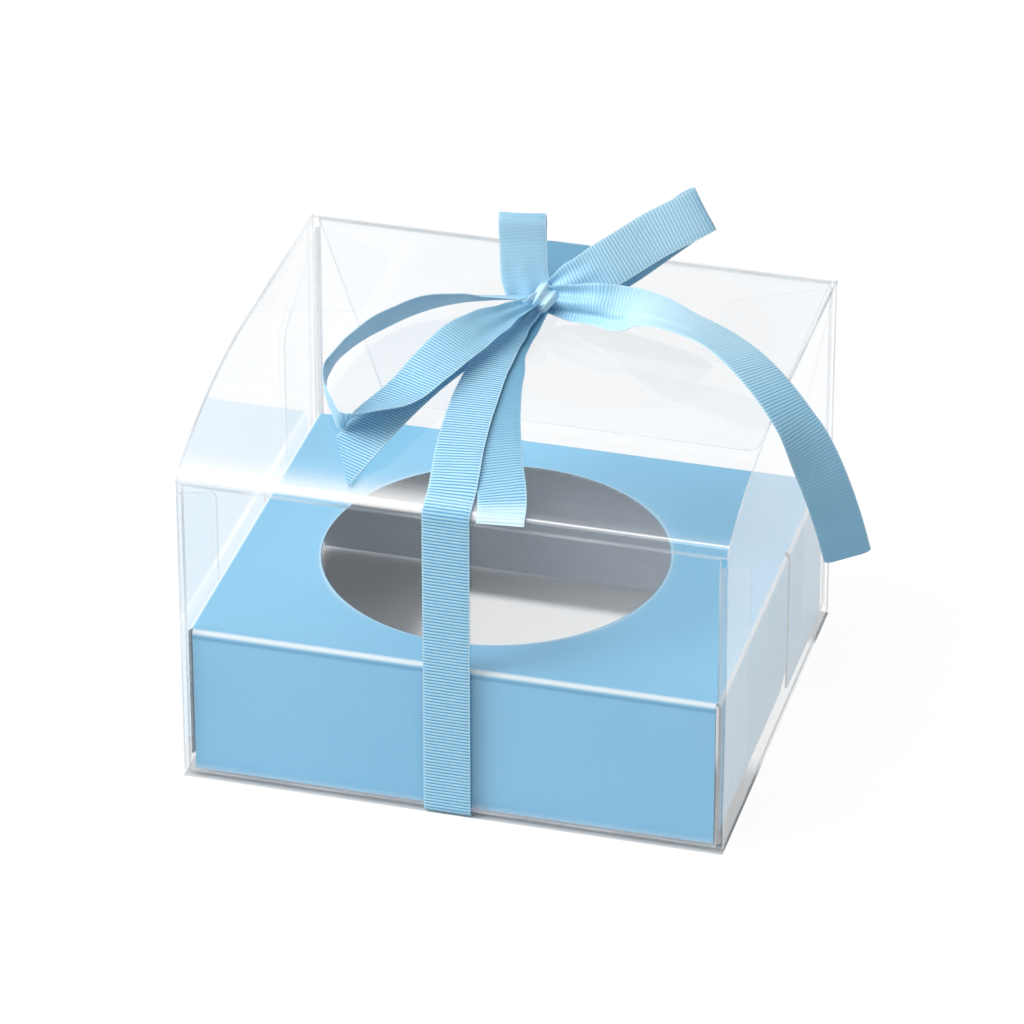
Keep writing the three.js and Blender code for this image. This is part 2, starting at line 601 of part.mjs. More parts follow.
  // The long tail hangs down beside the right wall: x is a share of the way to that wall.
  const hanging = {
    ribbon_right_tail: [
      { at: [0.054, -0.02, 0.05], across: [0, 0.3, 0.95], width: 0.53, pleat: 0.126 },
      { at: [0.129, -0.15, 0.11], across: [0, 0.35, 0.93], width: 0.76, pleat: 0.105 },
      { at: [0.223, -0.27, 0.22], across: [0, 0.5, 0.86], width: 0.88, pleat: 0.053 },
      { at: [0.313, -0.34, 0.24], across: [-0.1, 0.75, 0.62] },
      { at: [0.418, -0.48, 0.37], across: [-0.12, 0.96, 0.2] },
      { at: [0.563, -0.89, 0.45], across: [0.08, 0.99, -0.04] },
      { at: [0.745, -1.37, 0.36], across: [0.3, 0.94, -0.1] },
      { at: [0.923, -2.13, 0.12], across: [0.5, 0.86, -0.02] },
      { at: [1.086, -2.73, -0.56], across: [0.62, 0.78, 0.02] },
      { at: [1.184, -2.78, -1.64], across: [0.86, 0.45, 0.2] },
      { at: [1.248, -2.68, -2.73], across: [0.9, 0.35, 0.28] },
      { at: [1.289, -2.64, -3.61], across: [0.92, 0.35, 0.25] },
    ],
  };
  const middle = new THREE.Vector3(KNOT.x, KNOT.y, roof(KNOT.y).z + KNOT.z);
  for (const [straps, unitX] of [
    [free, RIBBON_WIDTH],
    [hanging, HALF_WIDTH - KNOT.x],
  ]) {
    const unit = new THREE.Vector3(unitX, RIBBON_WIDTH, RIBBON_WIDTH);
    const place = (at) => new THREE.Vector3(...at).multiply(unit).add(middle);
    for (const [name, rows] of Object.entries(straps)) {
      const stations = rows.map((row) => ({ ...row, at: place(row.at) }));
      group.add(named(name, strapGeometry(stations), ribbon));
    }
  }

  const knot = named("ribbon_knot", knotGeometry(), ribbon);
  knot.position.copy(middle);
  group.add(knot);
  return group;
}

const cupcakeBox = new THREE.Group();
cupcakeBox.add(makeSleeve());
cupcakeBox.add(makeEnd("left", -1));
cupcakeBox.add(makeEnd("right", 1));
cupcakeBox.add(makeInsert());
cupcakeBox.add(makeRibbon());

export default cupcakeBox;
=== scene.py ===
"""Looks of a clear cupcake box: folded film, a card insert with a round hole, a ribbed ribbon in a bow.

Lengths in the code are millimetres and the meshes are in metres. +X runs to the right along the front,
+Y to the back and +Z up, with the origin on the table under the middle of the box.
"""
import math

import bpy
import numpy as np
from mathutils import Matrix, Vector


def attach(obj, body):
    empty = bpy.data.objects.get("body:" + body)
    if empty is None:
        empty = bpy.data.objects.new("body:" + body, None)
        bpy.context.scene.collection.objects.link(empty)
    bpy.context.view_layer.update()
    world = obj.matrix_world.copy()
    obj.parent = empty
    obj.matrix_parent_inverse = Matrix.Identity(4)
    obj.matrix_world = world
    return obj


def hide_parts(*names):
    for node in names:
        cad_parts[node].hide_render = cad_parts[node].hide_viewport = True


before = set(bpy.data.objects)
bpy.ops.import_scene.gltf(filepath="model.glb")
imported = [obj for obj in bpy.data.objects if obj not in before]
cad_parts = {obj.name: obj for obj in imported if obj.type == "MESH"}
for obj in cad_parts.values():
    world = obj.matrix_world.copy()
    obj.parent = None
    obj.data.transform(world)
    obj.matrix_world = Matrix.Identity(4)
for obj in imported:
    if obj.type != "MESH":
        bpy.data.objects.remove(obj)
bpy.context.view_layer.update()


# Front wall. The box is one sheet of clear 0.3 mm film, cut and creased by a die. Its front wall rises from a
# round crease at the base to the wide fold into the top. The film mirrors a little, hazes faintly and turns
# white where it is creased; its cut edges are painted light and dark as glints, and a glare is painted along
# the front fold.

MM = 0.001
BOX_WIDTH, BOX_DEPTH = 110.0, 94.0
BACK_HEIGHT, FRONT_HEIGHT, FLAT_DEPTH = 78.0, 68.0, 47.0
FILM, GAP, RIBBON = 0.3, 0.3, 0.35
CREASE_RADIUS, FRONT_FOLD_RADIUS = 1.2, 2.6
SEAT = RIBBON + GAP
ROOF = SEAT + BACK_HEIGHT
FLOOR = SEAT + FILM
MID = FILM / 2
HALF_WIDTH, HALF_DEPTH = BOX_WIDTH / 2, BOX_DEPTH / 2
BEND_Y = HALF_DEPTH - CREASE_RADIUS  # middles of the round creases
BEND_TOP, BEND_LOW = ROOF - CREASE_RADIUS, SEAT + CREASE_RADIUS
BOW_RUN, BOW_DROP = BOX_DEPTH - FLAT_DEPTH, BACK_HEIGHT - FRONT_HEIGHT
BOW_RADIUS = (BOW_RUN**2 + BOW_DROP**2) / (2 * BOW_DROP)
BOW_Y, BOW_Z = HALF_DEPTH - FLAT_DEPTH, ROOF - BOW_RADIUS
FOLD_Y = -HALF_DEPTH + FRONT_FOLD_RADIUS
FOLD_Z = BOW_Z + math.sqrt((BOW_RADIUS - FRONT_FOLD_RADIUS) ** 2 - (FOLD_Y - BOW_Y) ** 2)
FOLD_ANGLE = math.atan2(FOLD_Z - BOW_Z, FOLD_Y - BOW_Y)
WALL_HALF = 53.65  # where the walls' upright creases begin
RIM = 0.3  # width of the bright line along a cut edge
RIGHT, UP, LEFT, DOWN = 0.0, math.pi / 2, math.pi, 1.5 * math.pi
FILM_TINT = (0.984, 0.988, 0.992, 1)
FILM_REFLECTS = 0.047  # share of light mirrored by film that is met square on
SIDES = (("left", -1), ("right", 1))


class Graph:
    """Adds nodes to one tree. A socket given as an input's value is linked to it."""

    def __init__(self, tree):
        self.tree = tree
        tree.nodes.clear()

    def add(self, kind, sockets=None, **settings):
        node = self.tree.nodes.new(kind)
        for key, value in settings.items():
            setattr(node, key, value)
        for key, value in (sockets or {}).items():
            self.feed(node.inputs[key], value)
        return node

    def feed(self, socket, value):
        if isinstance(value, bpy.types.NodeSocket):
            self.tree.links.new(value, socket)
        else:
            socket.default_value = value

    def math(self, operation, a, b=0.5, clamp=False):
        return self.add("ShaderNodeMath", {0: a, 1: b}, operation=operation, use_clamp=clamp).outputs[0]

    def span(self, value, low, high, to_low=0.0, to_high=1.0):
        """value's range low..high mapped to to_low..to_high, with smooth ends."""
        sockets = {"Value": value, "From Min": low, "From Max": high, "To Min": to_low, "To Max": to_high}
        return self.add("ShaderNodeMapRange", sockets, interpolation_type="SMOOTHSTEP").outputs["Result"]

    def noise(self, vector, scale, detail=2.0, roughness=0.5):
        sockets = {"Vector": vector, "Scale": scale, "Detail": detail, "Roughness": roughness}
        return self.add("ShaderNodeTexNoise", sockets).outputs["Fac"]

    def stretch(self, vector, scale):
        return self.add("ShaderNodeMapping", {"Vector": vector, "Scale": scale}).outputs["Vector"]

    def mark(self, name):
        """A number that the mesh holds at each of its points."""
        return self.add("ShaderNodeAttribute", attribute_name=name).outputs["Fac"]

    def place(self):
        return self.add("ShaderNodeTexCoord").outputs["Object"]

    def effect(self, tree, **sockets):
        """The outputs of a shared effect placed in this tree."""
        return self.add("ShaderNodeGroup", sockets, node_tree=tree).outputs

    def blend(self, factor, a, b):
        """A colour mix; a and b are colours or sockets."""
        node = self.add("ShaderNodeMix", {"Factor": factor}, data_type="RGBA")
        for key, value in (("A_Color", a), ("B_Color", b)):
            socket = next(s for s in node.inputs if s.identifier == key)
            self.feed(socket, (*value, 1.0) if isinstance(value, tuple) else value)
        return next(s for s in node.outputs if s.identifier == "Result_Color")

    def bump(self, height, distance, strength=1.0):
        sockets = {"Height": height, "Distance": distance, "Strength": strength}
        return self.add("ShaderNodeBump", sockets).outputs["Normal"]

    def shader(self, kind, **sockets):
        return self.add(kind, {k.replace("_", " "): v for k, v in sockets.items()}).outputs[0]

    def principled(self, **sockets):
        return self.shader("ShaderNodeBsdfPrincipled", **sockets)

    def mix(self, factor, a, b):
        return self.add("ShaderNodeMixShader", {0: factor, 1: a, 2: b}).outputs[0]

    def surface(self, shader):
        self.add("ShaderNodeOutputMaterial", {"Surface": shader})


def shared_effect(name, given, outputs, build):
    """A node group with one vector input, called given, and outputs that are numbers."""
    tree = bpy.data.node_groups.new(name, "ShaderNodeTree")
    tree.interface.new_socket(given, in_out="INPUT", socket_type="NodeSocketVector")
    for label in outputs:
        tree.interface.new_socket(label, in_out="OUTPUT", socket_type="NodeSocketFloat")
    graph = Graph(tree)
    source = graph.add("NodeGroupInput").outputs
    graph.add("NodeGroupOutput", build(graph, source))
    return tree


def new_material(name):
    material = bpy.data.materials.new(name)
    material.use_nodes = True
    return material, Graph(material.node_tree)


def build_mottle(g, source):
    """Uneven tone: a broad and a fine noise added, from 0 to 1."""
    broad = g.noise(source["Vector"], 40.0, 2.0)
    fine = g.noise(source["Vector"], 900.0, 3.0, 0.6)
    return {"Value": g.math("ADD", g.math("MULTIPLY", broad, 0.6), g.math("MULTIPLY", fine, 0.4))}


def build_scuffs(g, source):
    """Faint scratches on film, thin stretched noise past a threshold, and the unevenness of its face."""
    lines = g.noise(g.stretch(source["Vector"], (30.0, 700.0, 160.0)), 1.0, 3.0)
    broad = g.noise(source["Vector"], 28.0, 2.0)
    scratch = g.span(lines, 0.66, 0.78)
    return {"Value": g.math("MULTIPLY", scratch, g.span(broad, 0.4, 0.7)), "Cloud": broad}


MOTTLE = shared_effect("Mottle", "Vector", ["Value"], build_mottle)
SCUFFS = shared_effect("Scuffs", "Vector", ["Value", "Cloud"], build_scuffs)


def film_look(name, haze, reflects):
    """Clear film. Haze, whitened creases and painted glare, the last two read from the crease mark, scatter a
    share of the light, and another share is mirrored: reflects (r + (1 - r) (1 - cos)^5), r being
    FILM_REFLECTS. The rest goes through."""
    material, g = new_material(name)
    scuffs = g.effect(SCUFFS, Vector=g.place())
    normal = g.bump(scuffs["Cloud"], 0.0006, 0.5)
    scratched = g.math("MULTIPLY", scuffs["Value"], 0.05)
    # The crease mark holds crease whitening, and along the top's front fold a painted glare.
    scattered = g.math("ADD", scratched, g.math("MULTIPLY", g.mark("crease"), 0.9))
    clouded = g.span(scuffs["Cloud"], 0.3, 0.7, 0.6 * haze, 1.4 * haze)
    scattered = g.math("ADD", scattered, clouded, clamp=True)
    rough = g.span(scuffs["Cloud"], 0.2, 0.8, 0.12, 0.3)
    veil = g.principled(Base_Color=(0.98, 0.985, 0.99, 1), Roughness=rough, Normal=normal)
    body = g.mix(scattered, g.shader("ShaderNodeBsdfTransparent", Color=FILM_TINT), veil)
    facing = g.add("ShaderNodeLayerWeight", {"Blend": 0.5, "Normal": normal}).outputs["Facing"]
    slope = g.math("MULTIPLY", g.math("POWER", facing, 5.0), reflects * (1 - FILM_REFLECTS))
    mirrored = g.math("ADD", slope, reflects * FILM_REFLECTS, clamp=True)
    gloss = g.shader("ShaderNodeBsdfGlossy", Color=(1, 1, 1, 1), Roughness=0.06, Normal=normal)
    g.surface(g.mix(mirrored, body, gloss))
    return material


def film_edge_look(name, solid):
    """The cut edge of film, painted light and dark along its length as the glints and dark lines that light
    makes in a clear edge, solid being how much it hides.
    """
    material, g = new_material(name)
    tone = g.noise(g.place(), 45.0, 1.0)
    colour = g.blend(g.span(tone, 0.35, 0.65), (0.42, 0.48, 0.54), (0.9, 0.94, 0.97))
    rough = g.span(tone, 0.3, 0.7, 0.1, 0.3)
    g.surface(g.principled(Base_Color=colour, Roughness=rough, Alpha=solid))
    return material


WALL_FILM = [film_look("clear_film", 0.02, 1.1), film_edge_look("film_edge", 0.22)]


def lattice_faces(rows, cols, closed=False, start=0):
    """Quads of a rows x cols lattice of points; closed joins the last column to the first."""
    r = np.arange(rows - 1)[:, None] * cols
    c = np.arange(cols if closed else cols - 1)[None]
    d = (c + 1) % cols
    quads = np.stack([r + c, r + d, r + cols + d, r + cols + c], -1)
    return (quads.reshape(-1, 4) + start).tolist()


def add_piece(name, points, faces, materials, body, nodes, slots=None, uv=None, marks=None, crisp=35):
    """A piece from points in mm. marks are values at its points that its material reads by name."""
    mesh = bpy.data.meshes.new(name)
    mesh.from_pydata((np.asarray(points, float) * MM).tolist(), [], faces)
    for material in materials:
        mesh.materials.append(material)
    if slots is not None:
        mesh.polygons.foreach_set("material_index", slots)
    mesh.polygons.foreach_set("use_smooth", [True] * len(faces))
    mesh.update()
    mesh.set_sharp_from_angle(angle=math.radians(crisp))
    if uv is not None:
        layer = mesh.uv_layers.new(name="Strap")
        vertex = np.zeros(len(mesh.loops), int)
        mesh.loops.foreach_get("vertex_index", vertex)
        layer.data.foreach_set("uv", np.asarray(uv, float)[vertex].ravel())
    for key, values in (marks or {}).items():
        attribute = mesh.attributes.new(key, "FLOAT", "POINT")
        attribute.data.foreach_set("value", np.asarray(values, float).ravel())
    mesh.validate()
    made = bpy.data.objects.new(name, mesh)
    bpy.context.scene.collection.objects.link(made)
    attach(made, body)
    if nodes:
        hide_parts(*nodes)


def unit(v):
    """Each vector of the array at length 1."""
    v = np.asarray(v, float)
    return v / np.maximum(np.linalg.norm(v, axis=-1, keepdims=True), 1e-9)


def heading(line):
    """Unit vectors along a line of points."""
    return unit(np.gradient(line, axis=0))


def arc(centre_y, centre_z, radius, start, end, steps):
    """Points (y, z) at centre + radius (cos a, sin a), the angle a going from start to end."""
    a = np.linspace(start, end, steps + 1)
    return np.stack([centre_y + radius * np.cos(a), centre_z + radius * np.sin(a)], -1)


def rim_of(rows, cols):
    """Places of a lattice's outermost points, in order round it."""
    steps = [np.arange(cols), np.arange(1, rows) * cols + cols - 1]
    steps += [(rows - 1) * cols + np.arange(cols - 2, -1, -1), np.arange(rows - 2, 0, -1) * cols]
    return np.concatenate(steps)


def for_points(values, rows, cols):
    """A value for each point of a lattice, from None for 0, from one value a row, or from all of them."""
    values = np.zeros(rows) if values is None else np.asarray(values, float)
    return (np.repeat(values[:, None], cols, 1) if values.ndim == 1 else values).ravel()


def film_sheet(name, points, body, nodes, crease=None, closed=False, looks=WALL_FILM, rim=RIM):
    """One panel: a lattice of points through the middle of the film, and round its cut edge a closed
    square tube, FILM high and rim wide. A closed lattice is rings round a middle."""
    points = np.asarray(points, float)
    rows, cols = points.shape[:2]
    down = np.gradient(points, axis=0)
    if closed:
        across = (np.roll(points, -1, 1) - np.roll(points, 1, 1)) / 2
        r, c = np.full(cols, rows - 1), np.arange(cols)
        inward = points[rows - 2] - points[rows - 1]
    else:
        across = np.gradient(points, axis=1)
        r, c = np.divmod(rim_of(rows, cols), cols)
        to_row = points[np.clip(r, 1, rows - 2), c] - points[r, c]
        to_col = points[r, np.clip(c, 1, cols - 2)] - points[r, c]
        inward = unit(to_row) + unit(to_col)
    inward = unit(inward) * rim
    out = unit(np.cross(down, across))[r, c] * FILM / 2
    edge = points[r, c]
    tube = np.stack([edge + out, edge - out, edge - out + inward, edge + out + inward])
    faces = lattice_faces(rows, cols, closed)
    if closed:
        faces.append(list(range(cols - 1, -1, -1)))
    sheet_faces, size = len(faces), len(edge)
    i = np.arange(size)
    for k in range(4):
        a, b = rows * cols + k * size, rows * cols + (k + 1) % 4 * size
        faces += np.stack([a + i, a + (i + 1) % size, b + (i + 1) % size, b + i], -1).tolist()
    slots = [0] * sheet_faces + [1] * (len(faces) - sheet_faces)
    marks = {"crease": np.concatenate([for_points(crease, rows, cols), np.zeros(4 * size)])}
    every = np.concatenate([points.reshape(-1, 3), tube.reshape(-1, 3)])
    add_piece(name, every, faces, looks, body, nodes, slots, None, marks)


def bent_film(name, path, half, body, nodes, crease=None, cols=41):
    """A sheet swept along X: path holds its (y, z) points, half is half its width."""
    points = np.empty((len(path), cols, 3))
    points[..., 0] = np.linspace(-half, half, cols)
    points[..., 1:] = path[:, None]
    film_sheet(name, points, body, nodes, crease)


wall_z = np.linspace(BEND_LOW, FOLD_Z, 40)
foot_bend = arc(-BEND_Y, BEND_LOW, CREASE_RADIUS - MID, DOWN, LEFT, 8)
wall_path = np.concatenate([foot_bend, np.stack([np.full(39, -HALF_DEPTH + MID), wall_z[1:]], -1)])
bent_film("film_front_wall", wall_path, WALL_HALF, "box", ["sleeve_front"], [0.3] * 9 + [0.0] * 39)


# Top. It is level over its rear half and bows down to the front, where it turns into the front wall in a wide
# fold. Along the fold a broad white band, left of the bow's short tail, and a thin line right of it are
# painted glare, laid over the fold's crease whitening.

GLARE_END_X = 11.0  # the white band fades out here
FOLD_STEPS, TOP_COLS = 22, 111
fold_arc = arc(FOLD_Y, FOLD_Z, FRONT_FOLD_RADIUS - MID, LEFT, FOLD_ANGLE, FOLD_STEPS)
bow_arc = arc(BOW_Y, BOW_Z, BOW_RADIUS - MID, FOLD_ANGLE, UP, 30)
level_run = np.stack([np.linspace(BOW_Y, BEND_Y, 26), np.full(26, ROOF - MID)], -1)
rear_arc = arc(BEND_Y, BEND_TOP, CREASE_RADIUS - MID, UP, RIGHT, 8)
top_path = np.concatenate([fold_arc, bow_arc[1:], level_run[1:], rear_arc[1:]])


def fold_glare_and_crease(rows, cols):
    """Painted glare on the front fold, over its crease whitening: broad, a smooth plateau over the fold's
    turn, left of the x where the glare ends, and a thin line, exp(-((s - 0.9) / 0.07)^2), right of it; s runs
    from 0 to 1 round the fold."""
    s = np.arange(rows)[:, None] / FOLD_STEPS
    x = np.linspace(-HALF_WIDTH, HALF_WIDTH, cols)[None]
    left = 1 / (1 + np.exp((x - GLARE_END_X) / 0.4))
    broad = 1 / (1 + np.exp(-(s - 0.3) / 0.05)) / (1 + np.exp((s - 1.05) / 0.04))
    thin = np.exp(-(((s - 0.9) / 0.07) ** 2))
    return 0.95 * (left * broad + (1 - left) * thin)


# The front fold's white band and thin line are painted glare; the last rows whiten the rear crease.
top_glare_and_crease = fold_glare_and_crease(len(top_path), TOP_COLS)
top_glare_and_crease[-8:] += 0.12
bent_film("film_top", top_path, HALF_WIDTH, "box", ["sleeve_top"], top_glare_and_crease, TOP_COLS)


# Back wall and seam flap. The back wall hangs from the top's rear crease, and a tapered flap, turned
# down from the same crease and glued inside it, closes the sheet into a sleeve.

SEAM_DROP, SEAM_TAPER, SEAM_CORNER, SEAM_HALF = 41.0, 14.0, 2.0, 53.5
FLAP_FILM = [film_look("clear_film_flap", 0.01, 0.45), film_edge_look("film_flap_edge", 0.17)]
back_z = np.linspace(BEND_TOP, BEND_LOW, 40)
heel = arc(BEND_Y, BEND_LOW, CREASE_RADIUS - MID, RIGHT, -UP, 8)
back_path = np.concatenate([np.stack([np.full(40, HALF_DEPTH - MID), back_z], -1), heel[1:]])
bent_film("film_back_wall", back_path, WALL_HALF, "box", ["sleeve_back"], [0.15] + [0.0] * 39 + [0.3] * 8)


def drawn_in(s, length, taper, corner):
    """How far a flap's side is drawn in at a distance s from its fold: a straight taper, and a round
    corner before the free edge, corner - sqrt(corner^2 - t^2) with t counted from where it starts."""
    t = np.clip(s - (length - corner), 0, corner)
    return taper * s / length + corner - np.sqrt(np.maximum(corner**2 - t**2, 0))


def flap_steps(length, corner, straight):
    """Distances from the fold to the free edge, closer together round the corner."""
    turn = length - corner + corner * np.sin(np.linspace(0, UP, 9))
    return np.concatenate([np.linspace(0, length - corner, straight), turn[1:]])


seam_s = flap_steps(SEAM_DROP, SEAM_CORNER, 24)
seam_half = SEAM_HALF - drawn_in(seam_s, SEAM_DROP, SEAM_TAPER, SEAM_CORNER)
seam = np.empty((len(seam_s), 41, 3))
seam[..., 0] = seam_half[:, None] * np.linspace(-1, 1, 41)
seam[..., 1] = HALF_DEPTH - FILM - GAP - MID
seam[..., 2] = (BEND_TOP - seam_s)[:, None]
film_sheet("film_seam_flap", seam, "box", ["sleeve_seam_flap"], looks=FLAP_FILM, rim=0.22)


# Base. The flat panel under the insert, joined to the front and back walls by round creases.

base_y = np.linspace(-BEND_Y, BEND_Y, 30)
base_path = np.stack([base_y, np.full(30, SEAT + MID)], -1)
bent_film("film_base", base_path, HALF_WIDTH - FILM, "box", ["sleeve_base"])


# End panels. Each end wall turns up from the base and follows the bowed top with its upper edge. It is
# the film that opens, so all four of its edges but the crease at the base are free.

INSET = FILM + GAP
CREASE_Z = ROOF - INSET - MID


def resample(outline, spacing=1.5):
    """A closed outline with its long edges cut into steps of at most the spacing."""
    outline = np.asarray(outline, float)
    steps = [
        a + (b - a) * np.arange(n)[:, None] / n
        for a, b in zip(outline, np.roll(outline, -1, 0))
        for n in [max(1, int(np.linalg.norm(b - a) / spacing))]
    ]
    return np.concatenate(steps)


def fan(outline, rings=8):
    """Rings of points from near an outline's middle out to it: middle + r (outline - middle)."""
    middle = outline.mean(0)
    r = np.linspace(0.04, 1, rings)[:, None, None]
    return middle + r * (outline - middle)


end_outline = resample(
    [(-HALF_DEPTH + INSET, FLOOR)]
    + arc(FOLD_Y, FOLD_Z, FRONT_FOLD_RADIUS - INSET, LEFT, FOLD_ANGLE, 8).tolist()
    + arc(BOW_Y, BOW_Z, BOW_RADIUS - INSET, FOLD_ANGLE, UP, 24)[1:].tolist()
    + arc(BEND_Y, BEND_TOP, CREASE_RADIUS - INSET, UP, RIGHT, 6).tolist()
    + [(HALF_DEPTH - INSET, FLOOR)]
)
for word, side in SIDES:
    loop = np.column_stack([np.full(len(end_outline), side * (HALF_WIDTH - MID)), end_outline])
    film_sheet(f"film_{word}_end", fan(loop, 10), f"{word}_end", [f"{word}_end_panel"], closed=True)


# Tuck flaps. Each end panel's flap folds in under the level part of the top in a tight crease and
# slopes down a little, clear of the top.

TUCK_LENGTH, TUCK_TAPER, TUCK_CORNER, TUCK_BEND = 20.0, 8.0, 3.0, 0.5
TUCK_FRONT, TUCK_REAR, TUCK_SLOPE = 4.0, 44.0, math.radians(4)
TUCK_FILM = [film_look("clear_film_tuck", 0.003, 0.08), film_edge_look("film_tuck_edge", 0.02)]
tuck_turn = np.linspace(0, UP - TUCK_SLOPE, 7)
tuck_run = flap_steps(TUCK_LENGTH, TUCK_CORNER, 12)
tuck_run = tuck_run[tuck_run > TUCK_BEND]
tuck_in = np.concatenate([TUCK_BEND * (1 - np.cos(tuck_turn)), tuck_run])
tuck_drop = np.concatenate([TUCK_BEND * (np.sin(tuck_turn) - 1), -tuck_run * math.sin(TUCK_SLOPE)])
tuck_draw = drawn_in(np.concatenate([tuck_turn * 0, tuck_run]), TUCK_LENGTH, TUCK_TAPER, TUCK_CORNER)
tuck_front, tuck_rear = (TUCK_FRONT + tuck_draw)[:, None], (TUCK_REAR - tuck_draw)[:, None]
tuck_share = np.linspace(0, 1, 25)
tuck_white = np.concatenate([np.full(7, 0.5), tuck_run * 0])
for word, side in SIDES:
    tuck = np.empty((len(tuck_in), 25, 3))
    tuck[..., 0] = (side * (HALF_WIDTH - MID - tuck_in))[:, None]
    tuck[..., 1] = tuck_front * (1 - tuck_share) + tuck_rear * tuck_share
    tuck[..., 2] = (CREASE_Z + tuck_drop)[:, None]
    node = f"{word}_tuck_flap"
    film_sheet(f"film_{word}_tuck", tuck, f"{word}_tuck", [node], tuck_white, looks=TUCK_FILM, rim=0.14)


# Dust flaps. At each end the front and the back wall turn in behind the end panel: a tight upright
# crease, whitened, and a flap that tapers at its head and foot to round corners.

DUST_LENGTH, DUST_CORNER, DUST_BEND = 23.0, 2.5, 0.6
DUST_HEAD_TAPER, DUST_FOOT_TAPER = 0.55, 0.36
DUST_HEAD_ROOM, DUST_FOOT_ROOM = 2.2, 1.2
DUST_FILM = [film_look("clear_film_dust", 0.008, 0.3), film_edge_look("film_dust_edge", 0.16)]
dust_turn = np.linspace(0, UP, 7)
dust_run = flap_steps(DUST_LENGTH, DUST_CORNER, 12)[1:]
dust_out = WALL_HALF + DUST_BEND
dust_x = np.concatenate([WALL_HALF + DUST_BEND * np.sin(dust_turn), np.full(len(dust_run), dust_out)])
dust_bend = HALF_DEPTH - MID - DUST_BEND * (1 - np.cos(dust_turn))
dust_y = np.concatenate([dust_bend, HALF_DEPTH - INSET - dust_run])
dust_s = np.concatenate([dust_turn * 0, dust_run])
dust_corner = drawn_in(dust_s, DUST_LENGTH, 0, DUST_CORNER)
dust_share = np.linspace(0, 1, 33)
dust_white = np.concatenate([np.full(7, 0.5), dust_run * 0])
for word, side in SIDES:
    for end_word, end in (("front", -1), ("rear", 1)):
        head = (FOLD_Z if end < 0 else BEND_TOP) - DUST_HEAD_ROOM
        low = FLOOR + DUST_FOOT_ROOM + DUST_FOOT_TAPER * dust_s + dust_corner
        high = head - DUST_HEAD_TAPER * dust_s - dust_corner
        dust = np.empty((len(dust_x), 33, 3))
        dust[..., 0] = (side * dust_x)[:, None]
        dust[..., 1] = (end * dust_y)[:, None]
        dust[..., 2] = low[:, None] + (high - low)[:, None] * dust_share
        name = f"{word}_{end_word}_dust"
        film_sheet(f"film_{name}", dust, name, [f"{name}_flap"], dust_white, looks=DUST_FILM, rim=0.14)


# Card insert's top. The insert is one sheet of 0.5 mm card, light blue outside and grey inside, cut and
# folded. Its top has a round hole for the cupcake, with a thin deeper blue line at its edge and a pale line
# just outside it.

BOARD, BEND, INSERT_HEIGHT = 0.5, 1.0, 32.0
INSERT_HALF, INSERT_FRONT, INSERT_BACK = 53.8, -45.5, 44.4
INSERT_TOP = FLOOR + GAP + INSERT_HEIGHT
HOLE_RADIUS, HOLE_X, HOLE_FORWARD = 35.0, -3.0, 1.0
HOLE_Y = (INSERT_FRONT + INSERT_BACK) / 2 - HOLE_FORWARD
LEG_BOTTOM = FLOOR + GAP

card_face, g = new_material("card_blue_face")
tone = g.effect(MOTTLE, Vector=g.place())["Value"]
pale_and_deep = g.mark("pale_and_deep")
colour = g.blend(g.span(tone, 0.3, 0.7), (0.235, 0.6, 0.87), (0.265, 0.635, 0.9))
# This mark pales the card along its folds as a painted highlight and deepens it below the front and back
# folds as painted shade; round the hole it draws a deeper line at the edge and a pale one outside it.
colour = g.blend(g.math("MULTIPLY", pale_and_deep, 0.95, clamp=True), colour, (0.9, 0.97, 1.0))
colour = g.blend(g.math("MULTIPLY", pale_and_deep, -0.8, clamp=True), colour, (0.06, 0.3, 0.55))
rough = g.span(tone, 0.3, 0.7, 0.38, 0.5)
normal = g.bump(tone, 0.00004, 0.6)
g.surface(g.principled(Base_Color=colour, Roughness=rough, Normal=normal, Specular_IOR_Level=0.35))

card_back, g = new_material("card_grey_reverse")
where = g.place()
tone = g.effect(MOTTLE, Vector=where)["Value"]
fibre = g.noise(g.stretch(where, (60.0, 900.0, 900.0)), 1.0, 3.0, 0.6)
colour = g.blend(g.span(tone, 0.3, 0.7), (0.54, 0.61, 0.68), (0.61, 0.68, 0.75))
colour = g.blend(g.span(fibre, 0.5, 0.75, 0.0, 0.3), colour, (0.72, 0.77, 0.82))
rough = g.span(fibre, 0.3, 0.7, 0.55, 0.8)
g.surface(g.principled(Base_Color=colour, Roughness=rough, Normal=g.bump(fibre, 0.00005)))

card_edge, g = new_material("card_cut_edge")
fibre = g.noise(g.stretch(g.place(), (900.0, 900.0, 4000.0)), 1.0, 3.0, 0.6)
colour = g.blend(g.span(fibre, 0.3, 0.7), (0.16, 0.2, 0.25), (0.4, 0.46, 0.52))
g.surface(g.principled(Base_Color=colour, Roughness=0.8, Normal=g.bump(fibre, 0.00006)))


def card_panel(name, outer, inner, nodes, pale_and_deep, closed=False):
    """A bent card panel: lattices of its outer and inner face, joined by its cut edge all round."""
    outer, inner = np.asarray(outer, float), np.asarray(inner, float)
    rows, cols = outer.shape[:2]
    count = rows * cols
    faces = lattice_faces(rows, cols, closed)
    face_count = len(faces)
    faces += [f[::-1] for f in lattice_faces(rows, cols, closed, count)]
    if closed:
        loops = [np.arange(cols), (rows - 1) * cols + np.arange(cols - 1, -1, -1)]
    else:
        loops = [rim_of(rows, cols)]
    for ring in loops:
        b = np.roll(ring, -1)
        faces += np.stack([b, ring, count + ring, count + b], -1).tolist()
    slots = [0] * face_count + [1] * face_count + [2] * (len(faces) - 2 * face_count)
    points = np.concatenate([outer.reshape(-1, 3), inner.reshape(-1, 3)])
    marks = {"pale_and_deep": np.tile(for_points(pale_and_deep, rows, cols), 2)}
    looks = [card_face, card_back, card_edge]
    add_piece(name, points, faces, looks, "box", nodes, slots, None, marks, 50)


